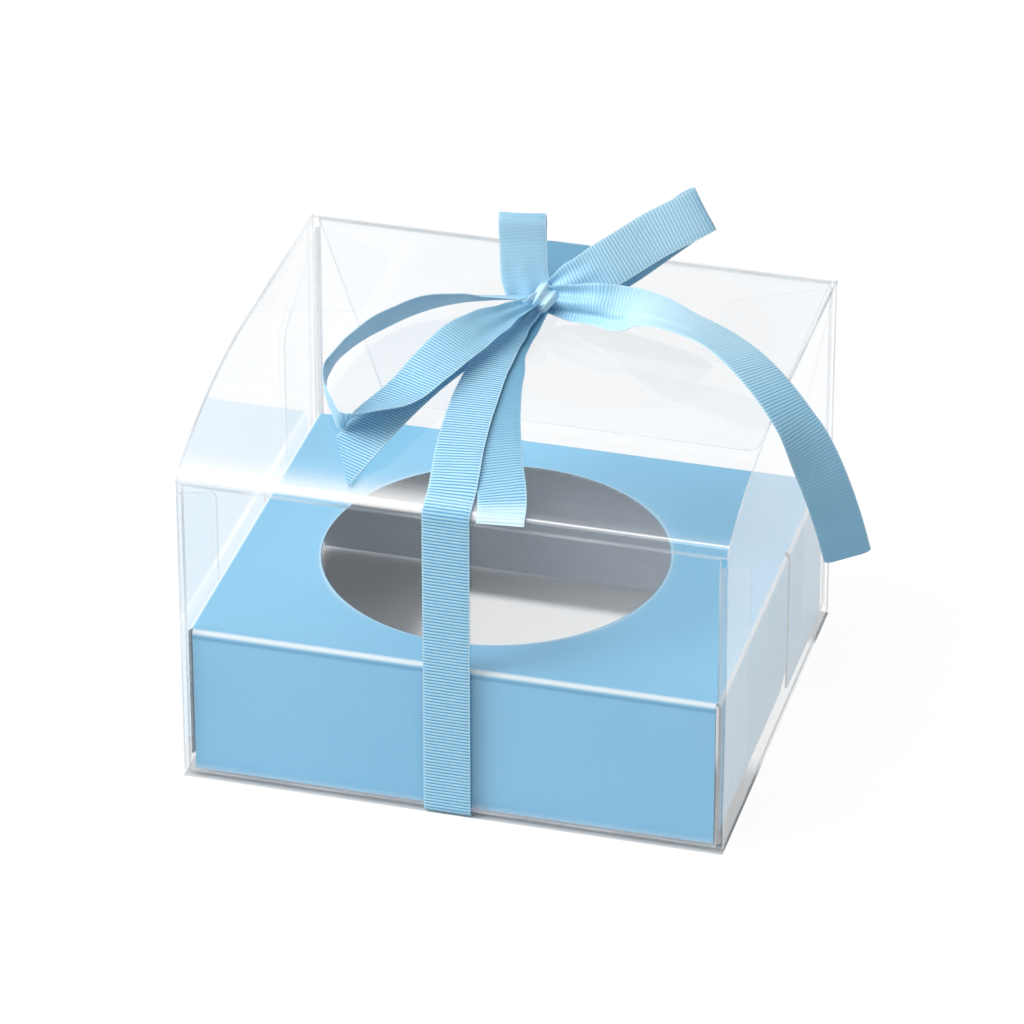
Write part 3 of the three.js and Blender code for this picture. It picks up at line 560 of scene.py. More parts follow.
x1, y0, y1 = INSERT_HALF - BEND, INSERT_FRONT + BEND, INSERT_BACK - BEND
edge = resample([(x1, y0), (x1, y1), (-x1, y1), (-x1, y0)], 1.2)
angle = np.arctan2(edge[:, 1] - HOLE_Y, edge[:, 0] - HOLE_X)
circle = np.stack([HOLE_X + HOLE_RADIUS * np.cos(angle), HOLE_Y + HOLE_RADIUS * np.sin(angle)], -1)
share = np.array([0, 0.012, 0.03, 0.1, 0.25, 0.45, 0.7, 0.9, 1.0])[:, None, None]
plate = circle + share * (edge - circle)
plate = np.concatenate([plate, np.full((*plate.shape[:2], 1), INSERT_TOP)], -1)
hole_lines = [-0.4, 0.55, 0.05] + [0.0] * 6
card_panel("card_top", plate, plate - [0, 0, BOARD], ["insert_top"], hole_lines, closed=True)


# Front and back legs. Each is the card turned down over a rounded fold to stand on the base; the fold is
# painted pale as a highlight, with a deeper blue line painted under it as shade.

near_fold = INSERT_TOP - np.array([3.2, 2.6, 2.1, 1.7, 1.35, BEND])
leg_z = np.concatenate([np.linspace(LEG_BOTTOM, near_fold[0], 14), near_fold[1:]])
leg_highlight_and_shade = np.concatenate([np.zeros(14), [0, -0.2, -0.8, -0.5, 0.1], [0.5, 1, 1, 1, 0.9, 0.5, 0.2, 0.1]])


def folded_leg(name, end, nodes):
    """A leg at the front (end -1) or back (end 1): straight up, then a quarter turn of radius BEND."""
    face = INSERT_FRONT if end < 0 else INSERT_BACK
    a = np.linspace(0, UP, 9)[1:]

    def side_of_card(inset):
        radius = BEND - inset
        y = np.concatenate([np.full(19, face - end * inset), face - end * (BEND - radius * np.cos(a))])
        z = np.concatenate([leg_z, INSERT_TOP - BEND + radius * np.sin(a)])
        points = np.empty((len(y), 45, 3))
        points[..., 0] = np.linspace(INSERT_HALF - BEND, BEND - INSERT_HALF, 45) * -end
        points[..., 1], points[..., 2] = y[:, None], z[:, None]
        return points[:, ::-1]

    card_panel(name, side_of_card(0), side_of_card(BOARD), nodes, leg_highlight_and_shade)


folded_leg("card_front_leg", -1, ["insert_front_leg"])
folded_leg("card_back_leg", 1, ["insert_back_leg"])


# Side legs and tabs. At each side a long leg, its lower rear corner rounded, hangs from the fold, and
# behind a slit a tab reaches down to the base.

SIDE_LEG, SLIT, LEG_RAISED, LEG_CORNER = 58.0, 1.6, 3.0, 6.0
TAB_CORNER, LEG_MARGIN = 2.0, 0.6
# The card is painted pale along each side fold as a highlight.
side_highlight = np.concatenate([[0.1, 0.3, 0.7, 1.0, 1.0, 1.0, 0.6, 0.2], np.zeros(14)])


def side_leg(name, side, y0, y1, bottom, corner, nodes):
    """A quarter turn of radius BEND from the plate, then a flat flap with a round lower rear corner."""
    a = np.linspace(UP, 0, 9)
    rounded = y1 - corner + corner * np.sin(np.linspace(0, UP, 10))
    y = np.concatenate([np.linspace(y0, y1 - corner, 20)[:-1], rounded])
    t = np.clip(y - (y1 - corner), 0, corner)
    low = bottom + corner - np.sqrt(np.maximum(corner**2 - t**2, 0))
    down = np.linspace(0, 1, 14)[1:]

    def side_of_card(inset):
        radius = BEND - inset
        points = np.empty((22, len(y), 3))
        points[..., 1] = y
        points[:9, :, 0] = (side * (INSERT_HALF - BEND + radius * np.cos(a)))[:, None]
        points[:9, :, 2] = (INSERT_TOP - BEND + radius * np.sin(a))[:, None]
        points[9:, :, 0] = side * (INSERT_HALF - inset)
        points[9:, :, 2] = (INSERT_TOP - BEND) + down[:, None] * (low - (INSERT_TOP - BEND))
        return points if side < 0 else points[:, ::-1]

    card_panel(name, side_of_card(0), side_of_card(BOARD), nodes, side_highlight)


for word, side in SIDES:
    rear = INSERT_FRONT + SIDE_LEG
    for kind, start, end, low, corner in (
        ("leg", INSERT_FRONT + LEG_MARGIN, rear, LEG_BOTTOM + LEG_RAISED, LEG_CORNER),
        ("tab", rear + SLIT, INSERT_BACK - LEG_MARGIN, LEG_BOTTOM, TAB_CORNER),
    ):
        side_leg(f"card_{word}_{kind}", side, start, end, low, corner, [f"insert_{word}_{kind}"])


# Band under the base and at the rear. The ribbon is 9.5 mm grosgrain: glossy cross ribs between two firm
# selvedges, its reverse duller; shade and highlights are painted on it through the same mark. Its ends are
# taken as stuck under the base and to the back wall.

RIBBON_WIDTH, RIBBON_X, RIB_PITCH = 9.5, -0.5, 0.7
TURNED_UNDER, DOWN_BACK = 60, 14  # how far the band's two ends reach
CELLS = 24  # strips across a ribbon


def build_ribs(g, source):
    """Cross ribs from the ribbon's own width and length in mm: one rounded thread each pitch, uneven by a
    little noise, broken into fine yarns, and a firm selvedge along both edges."""
    parts = g.add("ShaderNodeSeparateXYZ", {0: source["Strap"]}).outputs
    wobble = g.noise(g.stretch(source["Strap"], (0.25, 0.9, 1.0)), 1.0, 2.0)
    moved = g.math("ADD", parts["Y"], g.math("MULTIPLY", wobble, 0.2))
    turns = g.math("MULTIPLY", g.math("DIVIDE", moved, RIB_PITCH), 2 * math.pi)
    wave = g.math("ADD", g.math("MULTIPLY", g.math("COSINE", turns), 0.5), 0.5)
    yarn = g.noise(g.stretch(source["Strap"], (0.7, 9.0, 1.0)), 1.0, 2.0)
    height = g.math("ADD", g.math("POWER", wave, 0.8), g.math("MULTIPLY", yarn, 0.16))
    edge = g.span(g.math("ABSOLUTE", parts["X"]), RIBBON_WIDTH / 2 - 0.45, RIBBON_WIDTH / 2 - 0.2)
    return {"Height": height, "Wave": wave, "Yarn": yarn, "Selvedge": edge}


RIBS = shared_effect("Ribs", "Strap", ["Height", "Wave", "Yarn", "Selvedge"], build_ribs)

ribbon_face, g = new_material("ribbed_ribbon")
strap_map = g.add("ShaderNodeUVMap", uv_map="Strap").outputs["UV"]
ribs = g.effect(RIBS, Strap=strap_map)
tone = g.effect(MOTTLE, Vector=g.place())["Value"]
ribbing, reverse = g.mark("ribbing"), g.mark("reverse")
ridge = g.math("SUBTRACT", g.span(ribs["Wave"], 0.1, 0.65), 0.58)
ridge = g.math("ADD", g.math("MULTIPLY", ridge, ribbing), 0.58)
valley = g.blend(g.span(tone, 0.3, 0.7), (0.075, 0.35, 0.66), (0.1, 0.39, 0.7))
colour = g.blend(ridge, valley, (0.52, 0.83, 0.965))
colour = g.blend(g.math("MULTIPLY", ribs["Selvedge"], 0.5), colour, (0.6, 0.86, 0.97))
# The mark deepens the blue where the ribbon's reverse shows and where shade is painted, and below 0 pales it
# as a painted highlight.
colour = g.blend(g.math("MULTIPLY", reverse, 0.8, clamp=True), colour, (0.13, 0.36, 0.55))
colour = g.blend(g.math("MULTIPLY", reverse, -0.9, clamp=True), colour, (0.68, 0.9, 0.99))
height = g.math("MULTIPLY", ribs["Height"], g.math("ADD", g.math("MULTIPLY", ribbing, 0.85), 0.15))
g.surface(
    g.principled(
        Base_Color=colour,
        Roughness=g.span(ribs["Yarn"], 0.25, 0.75, 0.34, 0.52),
        Normal=g.bump(height, 0.00012, 0.8),
        Specular_IOR_Level=0.45,
        Sheen_Weight=0.12,
        Sheen_Roughness=0.4,
        Sheen_Tint=(0.85, 0.95, 1.0, 1.0),
    )
)


def roof(y):
    """Height of the top's outer face at depth y and its slope along Y: a circle of BOW_RADIUS, and one of
    FRONT_FOLD_RADIUS on the front fold, z = centre + sqrt(radius^2 - (y - centre)^2)."""
    y = np.asarray(y, float)
    on_fold = y < BOW_Y + BOW_RADIUS * math.cos(FOLD_ANGLE)
    centre_y = np.where(on_fold, FOLD_Y, BOW_Y)
    centre_z = np.where(on_fold, FOLD_Z, BOW_Z)
    radius = np.where(on_fold, FRONT_FOLD_RADIUS, BOW_RADIUS)
    run = np.minimum(y - centre_y, 0)
    rise = np.sqrt(np.maximum(radius**2 - run**2, 1e-9))
    return centre_z + rise, -run / rise


def between(count, t):
    """For t from 0 to 1 over count stations: the station before each t, and the share of the way on."""
    place = np.clip(np.asarray(t) * (count - 1), 0, count - 1 - 1e-9)
    i = place.astype(int)
    return i, place - i


def smooth_curve(points, t):
    """Centripetal Catmull-Rom curve through the points at t from 0 to 1."""
    points = np.asarray(points, float)
    full = np.concatenate([[2 * points[0] - points[1]], points, [2 * points[-1] - points[-2]]])
    i, w = between(len(points), t)
    w = w[:, None]
    p = [full[i + k] for k in range(4)]
    step = [np.maximum(np.linalg.norm(p[k + 1] - p[k], axis=1) ** 0.5, 1e-3)[:, None] for k in range(3)]
    m1 = ((p[1] - p[0]) / step[0] - (p[2] - p[0]) / (step[0] + step[1]) + (p[2] - p[1]) / step[1]) * step[1]
    m2 = ((p[2] - p[1]) / step[1] - (p[3] - p[1]) / (step[1] + step[2]) + (p[3] - p[2]) / step[2]) * step[1]
    h1, h2 = 2 * w**3 - 3 * w**2 + 1, w**3 - 2 * w**2 + w
    return h1 * p[1] + h2 * m1 + (1 - h1) * p[2] + (w**3 - w**2) * m2


def eased(values, t):
    """Values at the stations, or one value, eased between them."""
    values = np.atleast_1d(np.asarray(values, float))
    if len(values) == 1:
        return np.full(len(t), values[0])
    i, w = between(len(values), t)
    w = w * w * (3 - 2 * w)
    return values[i] * (1 - w) + values[i + 1] * w


def ribbon_piece(
    name, centres, sides, normals, width, nodes,
    pleat=0, tuck=0, lip=0, cut=0, round_end=0, reverse=0, ribbing=1,
):
    """A flat ribbon solid. Across it u runs from -1 to 1, and a point lies at centre + side u width / 2 +
    normal (pleat cos(2 pi u) / 2 - tuck step(-u) + lip rolled(-u) +- RIBBON / 2), step and rolled being
    the shares below. cut slants its last end, and round_end rounds its corners. Its UV is in mm."""
    count = len(centres)
    t = np.linspace(0, 1, count)
    along = np.concatenate([[0], np.cumsum(np.linalg.norm(np.diff(centres, axis=0), axis=1))])
    tangents = heading(centres)
    u = np.linspace(-1, 1, CELLS + 1)
    step = np.clip((-u - 0.3) / 0.25, 0, 1)
    step = step * step * (3 - 2 * step)
    rolled = np.clip((-u - 0.35) / 0.65, 0, 1) ** 1.5
    fold = eased(pleat, t)[:, None] / 2 * np.cos(2 * np.pi * u)
    fold = fold - eased(tuck, t)[:, None] * step + eased(lip, t)[:, None] * rolled
    near_end = np.clip(1 - (along[-1] - along) / 6.0, 0, 1)[:, None]
    shift = (u * cut / 2 - round_end * np.abs(u) ** 8) * near_end
    spine = centres[:, None] + sides[:, None] * (eased(width, t)[:, None] / 2 * u)[..., None]
    spine = spine + normals[:, None] * fold[..., None] + tangents[:, None] * shift[..., None]
    thick = (RIBBON / 2 * (1 - 0.55 * np.abs(u) ** 8))[None, :, None] * normals[:, None]
    ring = np.concatenate([spine + thick, (spine - thick)[:, ::-1]], 1)
    cols = ring.shape[1]
    c = np.arange(CELLS)
    cap = np.stack([c, c + 1, cols - 2 - c, cols - 1 - c], -1)
    faces = [f[::-1] for f in lattice_faces(count, cols, True)]
    faces += cap.tolist() + ((count - 1) * cols + cap[:, ::-1]).tolist()
    length = along[:, None] + np.concatenate([shift, shift[:, ::-1]], 1)
    across = np.repeat(np.concatenate([u, u[::-1]])[None] * RIBBON_WIDTH / 2, count, 0)
    uv = np.stack([across, length], -1).reshape(-1, 2)
    marks = {"reverse": np.repeat(eased(reverse, t), cols), "ribbing": np.repeat(eased(ribbing, t), cols)}
    points = ring.reshape(-1, 3)
    add_piece(name, points, faces, [ribbon_face], "ribbon", nodes, None, uv, marks, 60)


def band(name, path, nodes, **look):
    """A stretch of the band round the box: path is its (y, z) middle line, going round clockwise."""
    centres = np.column_stack([np.full(len(path), RIBBON_X), path])
    sides = np.repeat([[1.0, 0, 0]], len(path), 0)
    normals = np.cross(heading(centres), sides)
    ribbon_piece(name, centres, sides, normals, RIBBON_WIDTH, nodes, **look)


OUT = GAP + RIBBON / 2
under_y = np.linspace(-HALF_DEPTH + TURNED_UNDER, -BEND_Y, 30)
band("ribbon_under", np.stack([under_y, np.full(30, RIBBON / 2)], -1), ["ribbon_base"], reverse=0.3)
rear_head = arc(BEND_Y, BEND_TOP, CREASE_RADIUS + OUT, UP, RIGHT, 8)
drop_z = np.linspace(BEND_TOP, BEND_TOP - DOWN_BACK, 16)
drop = np.stack([np.full(16, HALF_DEPTH + OUT), drop_z], -1)
band("ribbon_back_strand", np.concatenate([rear_head[:-1], drop]), ["ribbon_back"], reverse=0.5)


# Strands to the knot. The front one rises from the foot, turns over the fold and narrows as it is gathered,
# lying a little proud of the top; it is painted darker at the foot, under the fold and near the knot as
# shade, and paler over the fold as a highlight. The rear one is coloured a deep dull blue, as its reverse
# lying up and as painted shade from the loops.

W = RIBBON_WIDTH


def lying_line(stations):
    """Middle line of a strap on the top: each station is (x, y, height over the film, width, pleat)."""
    t = np.linspace(0, 1, 14 * (len(stations) - 1) + 1)
    curve = smooth_curve(np.asarray(stations, float)[:, :3], t)
    z, slope = roof(curve[:, 1])
    outwards = unit(np.stack([np.zeros_like(z), -slope, np.ones_like(z)], -1))
    lift = curve[:, 2] + GAP + RIBBON / 2
    return t, np.stack([curve[:, 0], curve[:, 1], z], -1) + outwards * lift[:, None], outwards


def lying_strap(name, stations, nodes, **look):
    t, centres, outwards = lying_line(stations)
    tangents = heading(centres)
    sides = unit(np.cross(outwards, tangents))
    normals = unit(np.cross(tangents, sides))
    width, pleat = [s[3] for s in stations], [s[4] for s in stations]
    ribbon_piece(name, centres, sides, normals, width, nodes, pleat, **look)


strand_rise = np.stack([np.full(61, -HALF_DEPTH - OUT), np.linspace(BEND_LOW, FOLD_Z, 61)], -1)
strand_foot = arc(-BEND_Y, BEND_LOW, CREASE_RADIUS + OUT, DOWN, LEFT, 8)
strand_head = arc(FOLD_Y, FOLD_Z, FRONT_FOLD_RADIUS + OUT, LEFT, FOLD_ANGLE, 12)
strand_path = np.concatenate([strand_foot[:-1], strand_rise, strand_head[1:]])
gathered = [
    (-0.5, -45.1, 0.03, W, 0),
    (-0.5, -42.9, 0.3, W, 0),
    (-0.8, -39, 0.7, W, 0),
    (-1.7, -32, 0.8, W, 0),
    (-2.4, -20, 0.8, 9.2, 0),
    (-2.5, -7, 0.8, 8.2, 0),
    (-1.8, 3, 0.95, 6.8, 0),
    (-0.7, 9, 1.6, 5.2, 0.5),
    (1.2, 14, 3, 4.2, 0.9),
]
t, top_run, _ = lying_line(gathered)
centres = np.concatenate([np.column_stack([np.full(len(strand_path), RIBBON_X), strand_path]), top_run])
tangents = heading(centres)
outwards = np.column_stack([np.zeros(len(centres)), -tangents[:, 2], tangents[:, 1]])
sides = unit(np.cross(outwards, tangents))
zeros = np.zeros(len(strand_path))
up_front = np.linspace(0, 1, len(strand_path))
# Painted shade darkens the front strand at the foot, just under the fold and near the knot; a painted
# highlight pales it over the fold.
front_reverse = eased([0.3] + [0.12] * 14 + [0.5, 0.4, -0.2], up_front)
top_reverse = eased([-0.2, 0, 0, 0, 0, 0.05, 0.3, 0.5, 0.6], t)
top_ribbing = eased([1, 1, 1, 1, 1, 1, 0.7, 0.3, 0.1], t)
ribbon_piece(
    "ribbon_front_strand",
    centres,
    sides,
    unit(np.cross(tangents, sides)),
    np.concatenate([zeros + W, eased([s[3] for s in gathered], t)]),
    ["ribbon_front", "ribbon_front_top"],
    np.concatenate([zeros, eased([s[4] for s in gathered], t)]),
    reverse=np.concatenate([front_reverse, top_reverse]),
    ribbing=np.concatenate([zeros + 1, top_ribbing]),
)
lying_strap(
    "ribbon_top_back",
    [
        (1.9, 17, 1.6, 4.2, 0.5),
        (1.5, 22, 0.3, 6, 0),
        (0.4, 29, 0.03, W, 0),
        (-0.4, 39, 0.03, W, 0),
        (-0.5, 45.6, 0.03, W, 0),
    ],
    ["ribbon_back_top"],
    reverse=1.25,
    ribbing=0.15,
)


# Short tails. One short end of the bow lies beside the front strand and stops at the front fold; the
# other lies to its left and is cut on a slant.

lying_strap(
    "ribbon_tail_short",
    [
        (1.9, 14.4, 2.2, 4, 0.4),
        (0.6, 6.5, 0.1, 4.6, 0),
        (-0.2, 0, 0.03, 6.2, 0),
        (0.4, -9, 0.03, 8.6, 0),
        (2.4, -21, 0.03, W, 0),
        (6.4, -34, 0.03, W, 0),
        (9.3, -42, 0.03, W, 0),
        (10.1, -45.4, 0.03, W, 0),
        (10.2, -46.3, 0.03, W, 0),
        (10.3, -46.85, 0.03, W, 0),
    ],
    ["ribbon_short_tail"],
    # Painted shade darkens the short tail near the knot, and where it crosses the front fold it is painted
    # pale as the fold's glare.
    reverse=[1.2, 1.2, 1.1, 1, 0.8, 0.45, 0.2, -0.8, -1.1, -1.1],
    ribbing=[0.1, 0.1, 0.2, 0.4, 0.7, 1, 1, 1, 1, 1],
)
lying_strap(
    "ribbon_tail_left",
    [
        (0, 14, 2, 3.8, 0.4),
        (-4.8, 7, 0.3, 5, 0),
        (-8.2, 0, 0.03, 8.4, 0),
        (-11.6, -8, 0.03, W, 0),
        (-15.2, -17, 0.03, W, 0),
        (-18.6, -26, 0.03, W, 0),
        (-21, -32.4, 0.03, W, 0),
        (-23.5, -39, 0.03, W, 0),
    ],
    ["ribbon_left_tail"],
    cut=9.4,
    # Painted shade darkens the left tail near the knot; under the loop it is painted paler as a highlight.
    reverse=[1, 1, 0.8, 0.4, 0, -0.4, -0.2, 0.3],
    ribbing=[0.1, 0.2, 0.5, 0.8, 1, 1, 1, 0.7],
)


# Left loop. The ribbon leaves the knot on edge, turns round at the left and comes back below with its
# ribbed face up; near the knot its lower edge is rolled up.


def free_strap(name, stations, nodes, **look):
    """A strap in the air: each station is (place, direction across, width, pleat)."""
    t = np.linspace(0, 1, 14 * (len(stations) - 1) + 1)
    centres = smooth_curve([s[0] for s in stations], t)
    across = smooth_curve([s[1] for s in stations], t)
    tangents = heading(centres)
    sides = unit(across - tangents * (across * tangents).sum(1)[:, None])
    normals = np.cross(tangents, sides)
    width, pleat = [s[2] for s in stations], [s[3] for s in stations]
    ribbon_piece(name, centres, sides, normals, width, nodes, pleat, **look)


free_strap(
    "ribbon_loop_left",
    [
        ((0.6, 15.6, 82.8), (-0.1, 0.9, -0.42), 3.4, 0.8),
        ((-8.4, 13.8, 82.6), (-0.18, 0.8, -0.57), 5.6, 0.4),
        ((-14.5, 11.2, 82.8), (-0.2, 0.72, -0.67), 8, 0),
        ((-20.8, 5.8, 83.2), (-0.14, 0.69, -0.71), W, 0),
        ((-25.5, -2, 83.5), (-0.13, 0.73, -0.67), W, 0),
        ((-28.5, -10.8, 84.2), (-0.12, 0.79, -0.6), W, 0),
        ((-30.4, -18.3, 83.6), (-0.15, 0.83, -0.54), W, 0),
        ((-30.6, -25.4, 82.4), (-0.18, 0.84, -0.52), W, 0),
        ((-28.3, -31.4, 81.1), (-0.25, 0.78, -0.57), W, 0),
        ((-24.9, -34.9, 79.3), (-0.32, 0.62, -0.72), W, 0),
        ((-21.9, -33.2, 79.7), (-0.42, 0.74, -0.52), W, 0),
        ((-17.9, -26.9, 79.7), (-0.6, 0.78, -0.16), W, 0),
        ((-15.3, -22.2, 80.3), (-0.71, 0.7, 0.02), W, 0),
        ((-12.2, -15.2, 82.2), (-0.77, 0.6, 0.19), W, 0),
        ((-8.6, -6.2, 83.8), (-0.76, 0.54, 0.32), W, 0),
        ((-5.5, 1.6, 83.6), (-0.7, 0.62, 0.28), 8.2, 0.2),
        ((-2.6, 8, 83), (-0.6, 0.7, 0.2), 5.6, 0.5),
        ((0.8, 13.6, 82.8), (-0.5, 0.8, 0.1), 3.6, 0.8),
    ],
    ["ribbon_left_loop_upper", "ribbon_left_loop_lower"],
    lip=[0, 0, 0, 0, 0, 0, 0, 0, 0, 0, 0, 0, 0, 0.1, 0.3, 0.8, 0.9, 0.6],
    # The upper strand is painted paler as a highlight, and the strands near the knot darker as shade.
    reverse=[0.1, -0.3, -0.4, -0.4, -0.3, -0.3, -0.2, 0, 0, 0, 0.1, 0, 0, 0, 0.05, 0.4, 0.7, 0.6],
    ribbing=[0.05, 0.05, 0.05, 0.05, 0.05, 0.05, 0.05, 0.1, 0.2, 0.3, 0.6, 0.9, 0.9, 0.8, 0.6, 0.4, 0.2, 0.1],
)


# Raised loop. It stands up to the right behind the knot, its fold at the tip tight and its far side showing
# below as a second layer. Its near side is painted paler as a highlight, and its far side darker as shade.

free_strap(
    "ribbon_loop_raised",
    [
        ((2.4, 16.8, 83.4), (-0.4, 0.4, 0.82), 4.4, 0.7),
        ((8.4, 18.2, 86.8), (-0.38, 0.38, 0.84), 8, 0.3),
        ((14, 20.8, 89.8), (-0.4, 0.36, 0.84), W, 0),
        ((22, 26.8, 94.2), (-0.46, 0.36, 0.81), W, 0),
        ((28.6, 31.3, 97.2), (-0.52, 0.3, 0.8), W, 0),
        ((30.4, 33.2, 97.9), (-0.55, 0.26, 0.79), W, 0),
        ((29, 34, 96.9), (-0.52, 0.26, 0.8), W, 0),
        ((22.8, 30.2, 92.6), (-0.42, 0.26, 0.86), W, 0),
        ((14.8, 24.2, 87.4), (-0.36, 0.3, 0.88), W, 0),
        ((9.4, 21.4, 84.8), (-0.34, 0.3, 0.88), 8, 0.3),
        ((2.6, 17.6, 82.8), (-0.4, 0.4, 0.82), 4.4, 0.7),
    ],
    ["ribbon_raised_loop"],
    reverse=[0.1, -0.1, -0.25, -0.3, -0.3, 0, 0.4, 0.6, 0.6, 0.6, 0.6],
    ribbing=[0.2, 0.5, 0.6, 0.6, 0.5, 0.3, 0.1, 0.1, 0.1, 0.1, 0.1],
)


# Upright loop. A small flattened loop stands straight up behind the knot and narrows into it.

free_strap(
    "ribbon_loop_upright",
    [
        ((-1.6, 18.6, 81.6), (-0.93, -0.3, 0.02), 9, 0.4),
        ((-3, 20.4, 85), (-0.93, -0.3, 0.04), W, 0.1),
        ((-4, 23, 90.6), (-0.93, -0.3, 0.05), W, 0),
        ((-4.6, 24.3, 94.8), (-0.93, -0.3, 0.05), W, 0),
        ((-4.8, 25.4, 95.9), (-0.93, -0.3, 0.05), W, 0),
        ((-5, 26.4, 94.6), (-0.93, -0.3, 0.05), W, 0),
        ((-4.8, 26, 89.4), (-0.93, -0.3, 0.05), W, 0),
        ((-3.8, 23.6, 83.6), (-0.93, -0.3, 0.04), W, 0.1),
        ((-2, 20, 81), (-0.93, -0.3, 0.02), 9, 0.4),
    ],
    ["ribbon_upright_loop"],
    # The rising side of the loop is painted a little paler as a highlight, and the returning side darker as
    # shade.
    reverse=[-0.05, -0.2, -0.25, -0.25, 0, 0.7, 0.8, 0.9, 0.9],
    ribbing=0.03,
)


# Long right tail. It leaves the knot folded lengthwise, opens into an arch over the right end of the box and
# hangs down its side. The arch is painted paler as a highlight, and the hanging end, where its reverse turns
# towards the front, darker as shade.

free_strap(
    "ribbon_tail_right",
    [
        ((2.4, 15.8, 82.8), (0, 0.3, 0.95), 5.6, 1.2),
        ((8.2, 14.3, 83.5), (0, 0.35, 0.93), 7.6, 0.9),
        ((13.6, 13, 84.6), (0, 0.5, 0.86), 8.4, 0.5),
        ((18.4, 12.4, 84.8), (-0.1, 0.75, 0.62), W, 0),
        ((24, 11, 86.1), (-0.12, 0.96, 0.2), W, 0),
        ((31.7, 7.1, 86.8), (0.08, 0.99, -0.04), W, 0),
        ((41.4, 2.6, 86), (0.3, 0.94, -0.1), W, 0),
        ((50.9, -4.6, 83.7), (0.5, 0.86, -0.02), W, 0),
        ((59.6, -10.3, 77.2), (0.62, 0.78, 0.02), W, 0),
        ((64.8, -10.8, 67), (0.86, 0.45, 0.2), W, 0),
        ((68.2, -9.9, 56.6), (0.9, 0.35, 0.28), W, 0),
        ((70.4, -9.5, 48.3), (0.92, 0.35, 0.25), W, 0),
    ],
    ["ribbon_right_tail"],
    tuck=[0.8, 0.9, 0.8, 0.6, 0.4, 0.2, 0, 0, 0, 0, 0, 0],
    round_end=0.5,
    reverse=[0.3, 0.15, 0, -0.2, -0.6, -0.6, -0.3, -0.1, 0.2, 0.45, 0.6, 0.65],
    ribbing=[0.2, 0.3, 0.3, 0.25, 0.15, 0.15, 0.35, 0.6, 0.5, 0.25, 0.12, 0.1],
)


# Knot. The gathered strands are held by the ribbon wound once round them on the slant, drawn in tight
# so that it stands in small pleats, and a twisted strand comes out below on the left.

KNOT_AT = np.array([1.9, 15.6, ROOF + 3.8])
KNOT_TALL, KNOT_DEEP = 3.1, 2.5  # radii of the wrap
knot_up = unit([0.47, 0.55, 0.69])
knot_out = unit([0.22, -0.83, 0.51])
knot_turn = np.linspace(-0.3, 2 * np.pi + 0.2, 90)[:, None]
knot_path = KNOT_AT + KNOT_TALL * np.cos(knot_turn) * knot_up + KNOT_DEEP * np.sin(knot_turn) * knot_out
knot_tangent = heading(knot_path)
knot_side = np.repeat([np.cross(knot_out, knot_up)], 90, 0)
knot_normal = np.cross(knot_tangent, knot_side)
KNOT_WIDTH = [4.2, 4.6, 4.0, 3.2, 3.6, 4.1, 4.2]
# The wrap is painted paler as a highlight; the twisted strand is painted paler at the knot and darker at its
# end as shade.
ribbon_piece(
    "ribbon_knot_wrap",
    knot_path,
    knot_side,
    knot_normal,
    KNOT_WIDTH,
    ["ribbon_knot"],
    pleat=0.7,
    reverse=-0.7,
    ribbing=0.1,
)
free_strap(
    "ribbon_knot_twist",
    [
        ((1.6, 15.4, 83.6), (0.5, 0.5, 0.7), 3.4, 0.5),
        ((0.4, 13.6, 83.2), (0.55, 0.45, 0.7), 3.6, 0.4),
        ((-1.2, 12.2, 81.8), (0.65, 0.6, 0.45), 3.6, 0.3),
        ((-2.2, 12.6, 80.4), (0.8, 0.6, 0.1), 3.2, 0.3),
        ((-2, 14, 80), (0.8, 0.6, -0.1), 3, 0.3),
    ],
    [],
    reverse=[-0.5, -0.5, -0.2, 0.5, 0.9],
    ribbing=0.1,
)


# Camera. A long lens from the front, a little to the right and 30 degrees above.

AZIMUTH, ELEVATION = math.radians(15.119), math.radians(30.493)
CAMERA_AT = (286.7, -1061.6, 689.95)
LENS = 224.977

level = math.cos(ELEVATION)
back = Vector((math.sin(AZIMUTH) * level, -math.cos(AZIMUTH) * level, math.sin(ELEVATION)))
right = Vector((math.cos(AZIMUTH), math.sin(AZIMUTH), 0))
camera_data = bpy.data.cameras.new("camera")
camera_data.lens = LENS
camera_data.sensor_width = 36
camera = bpy.data.objects.new("camera", camera_data)
turned = Matrix((right, back.cross(right), back)).transposed().to_4x4()
camera.matrix_world = Matrix.Translation(Vector(CAMERA_AT) * MM) @ turned
bpy.context.scene.collection.objects.link(camera)
bpy.context.scene.camera = camera
bpy.context.scene.view_settings.view_transform = "Standard"


# Studio. Soft lamps at the left and overhead, a white sky and a pale table. The table isn't plain: it
# glows to the camera, but not under the box, where a patch of glow is painted in again to match the
# light area that the photograph shows through the hole.

SKY = 0.42
TABLE_GLOW, GLOW_SHARE = 1.1, 0.85
POOL_X, POOL_REAR, POOL_FRONT = (-0.028, -0.018), (0.037, 0.033), (-0.02, -0.01)  # the patch, in metres
POOL_SHARE = 0.8
TABLE_REACH = 3  # metres


def add_lamp(name, place, target, size, power):
    data = bpy.data.lights.new(name, "AREA")
    data.shape = "RECTANGLE"
    data.size, data.size_y = size
    data.energy = power
    lamp = bpy.data.objects.new(name, data)
    lamp.location = place
    lamp.rotation_euler = (Vector(target) - Vector(place)).to_track_quat("-Z", "Y").to_euler()
    bpy.context.scene.collection.objects.link(lamp)


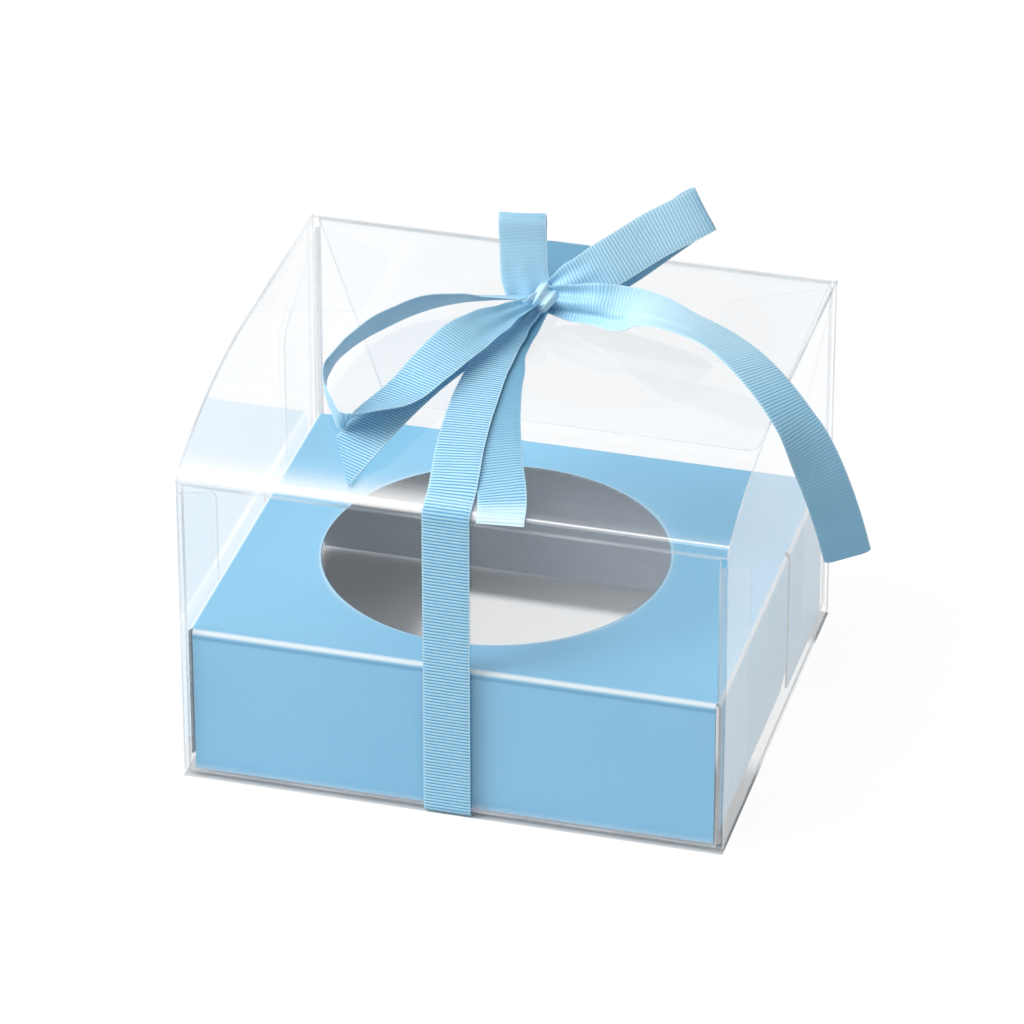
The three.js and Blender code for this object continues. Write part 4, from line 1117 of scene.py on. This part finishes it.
def seen_directly(graph):
    """1 for rays from the camera, from a mirror or through glass, else 0."""
    rays = graph.add("ShaderNodeLightPath").outputs
    first = graph.math("MAXIMUM", rays["Is Camera Ray"], rays["Is Glossy Ray"])
    return graph.math("MAXIMUM", first, rays["Is Transmission Ray"])


add_lamp("key", (-0.98, -0.46, 0.75), (0, 0, 0.04), (0.8, 0.8), 13.0)
add_lamp("overhead", (-0.3, -0.35, 1.1), (0, 0, 0.05), (0.7, 0.5), 4.0)

world = bpy.data.worlds.new("studio")
world.use_nodes = True
bpy.context.scene.world = world
g = Graph(world.node_tree)
strength = g.math("ADD", g.math("MULTIPLY", seen_directly(g), 1 - SKY), SKY)
sky = g.shader("ShaderNodeBackground", Color=(1, 1, 1, 1), Strength=strength)
g.add("ShaderNodeOutputWorld", {"Surface": sky})

table_top, g = new_material("pale_table")
where = g.place()
parts = g.add("ShaderNodeSeparateXYZ", {0: where}).outputs
outside = [
    g.math("GREATER_THAN", g.math("ABSOLUTE", parts[axis]), half * MM)
    for axis, half in (("X", HALF_WIDTH), ("Y", HALF_DEPTH))
]
outside = g.math("MAXIMUM", *outside)
colour = g.blend(g.effect(MOTTLE, Vector=where)["Value"], (0.64, 0.64, 0.64), (0.66, 0.66, 0.66))
matt = g.principled(Base_Color=colour, Roughness=0.9, Specular_IOR_Level=0.1)
glow = g.shader("ShaderNodeEmission", Color=(1, 1, 1, 1), Strength=TABLE_GLOW)
pool = g.math("MULTIPLY", g.span(parts["Y"], *POOL_FRONT), g.span(parts["Y"], *POOL_REAR))
pool = g.math("MULTIPLY", pool, g.span(parts["X"], *POOL_X))
lit = g.math("MULTIPLY", seen_directly(g), g.math("MAXIMUM", outside, g.math("MULTIPLY", pool, POOL_SHARE)))
lit = g.math("MULTIPLY", lit, GLOW_SHARE)
g.surface(g.mix(lit, matt, glow))
table_mesh = bpy.data.meshes.new("table")
corners = [(x * TABLE_REACH, y * TABLE_REACH, 0) for x, y in ((-1, -1), (1, -1), (1, 1), (-1, 1))]
table_mesh.from_pydata(corners, [], [(0, 1, 2, 3)])
table_mesh.materials.append(table_top)
table = bpy.data.objects.new("table", table_mesh)
bpy.context.scene.collection.objects.link(table)
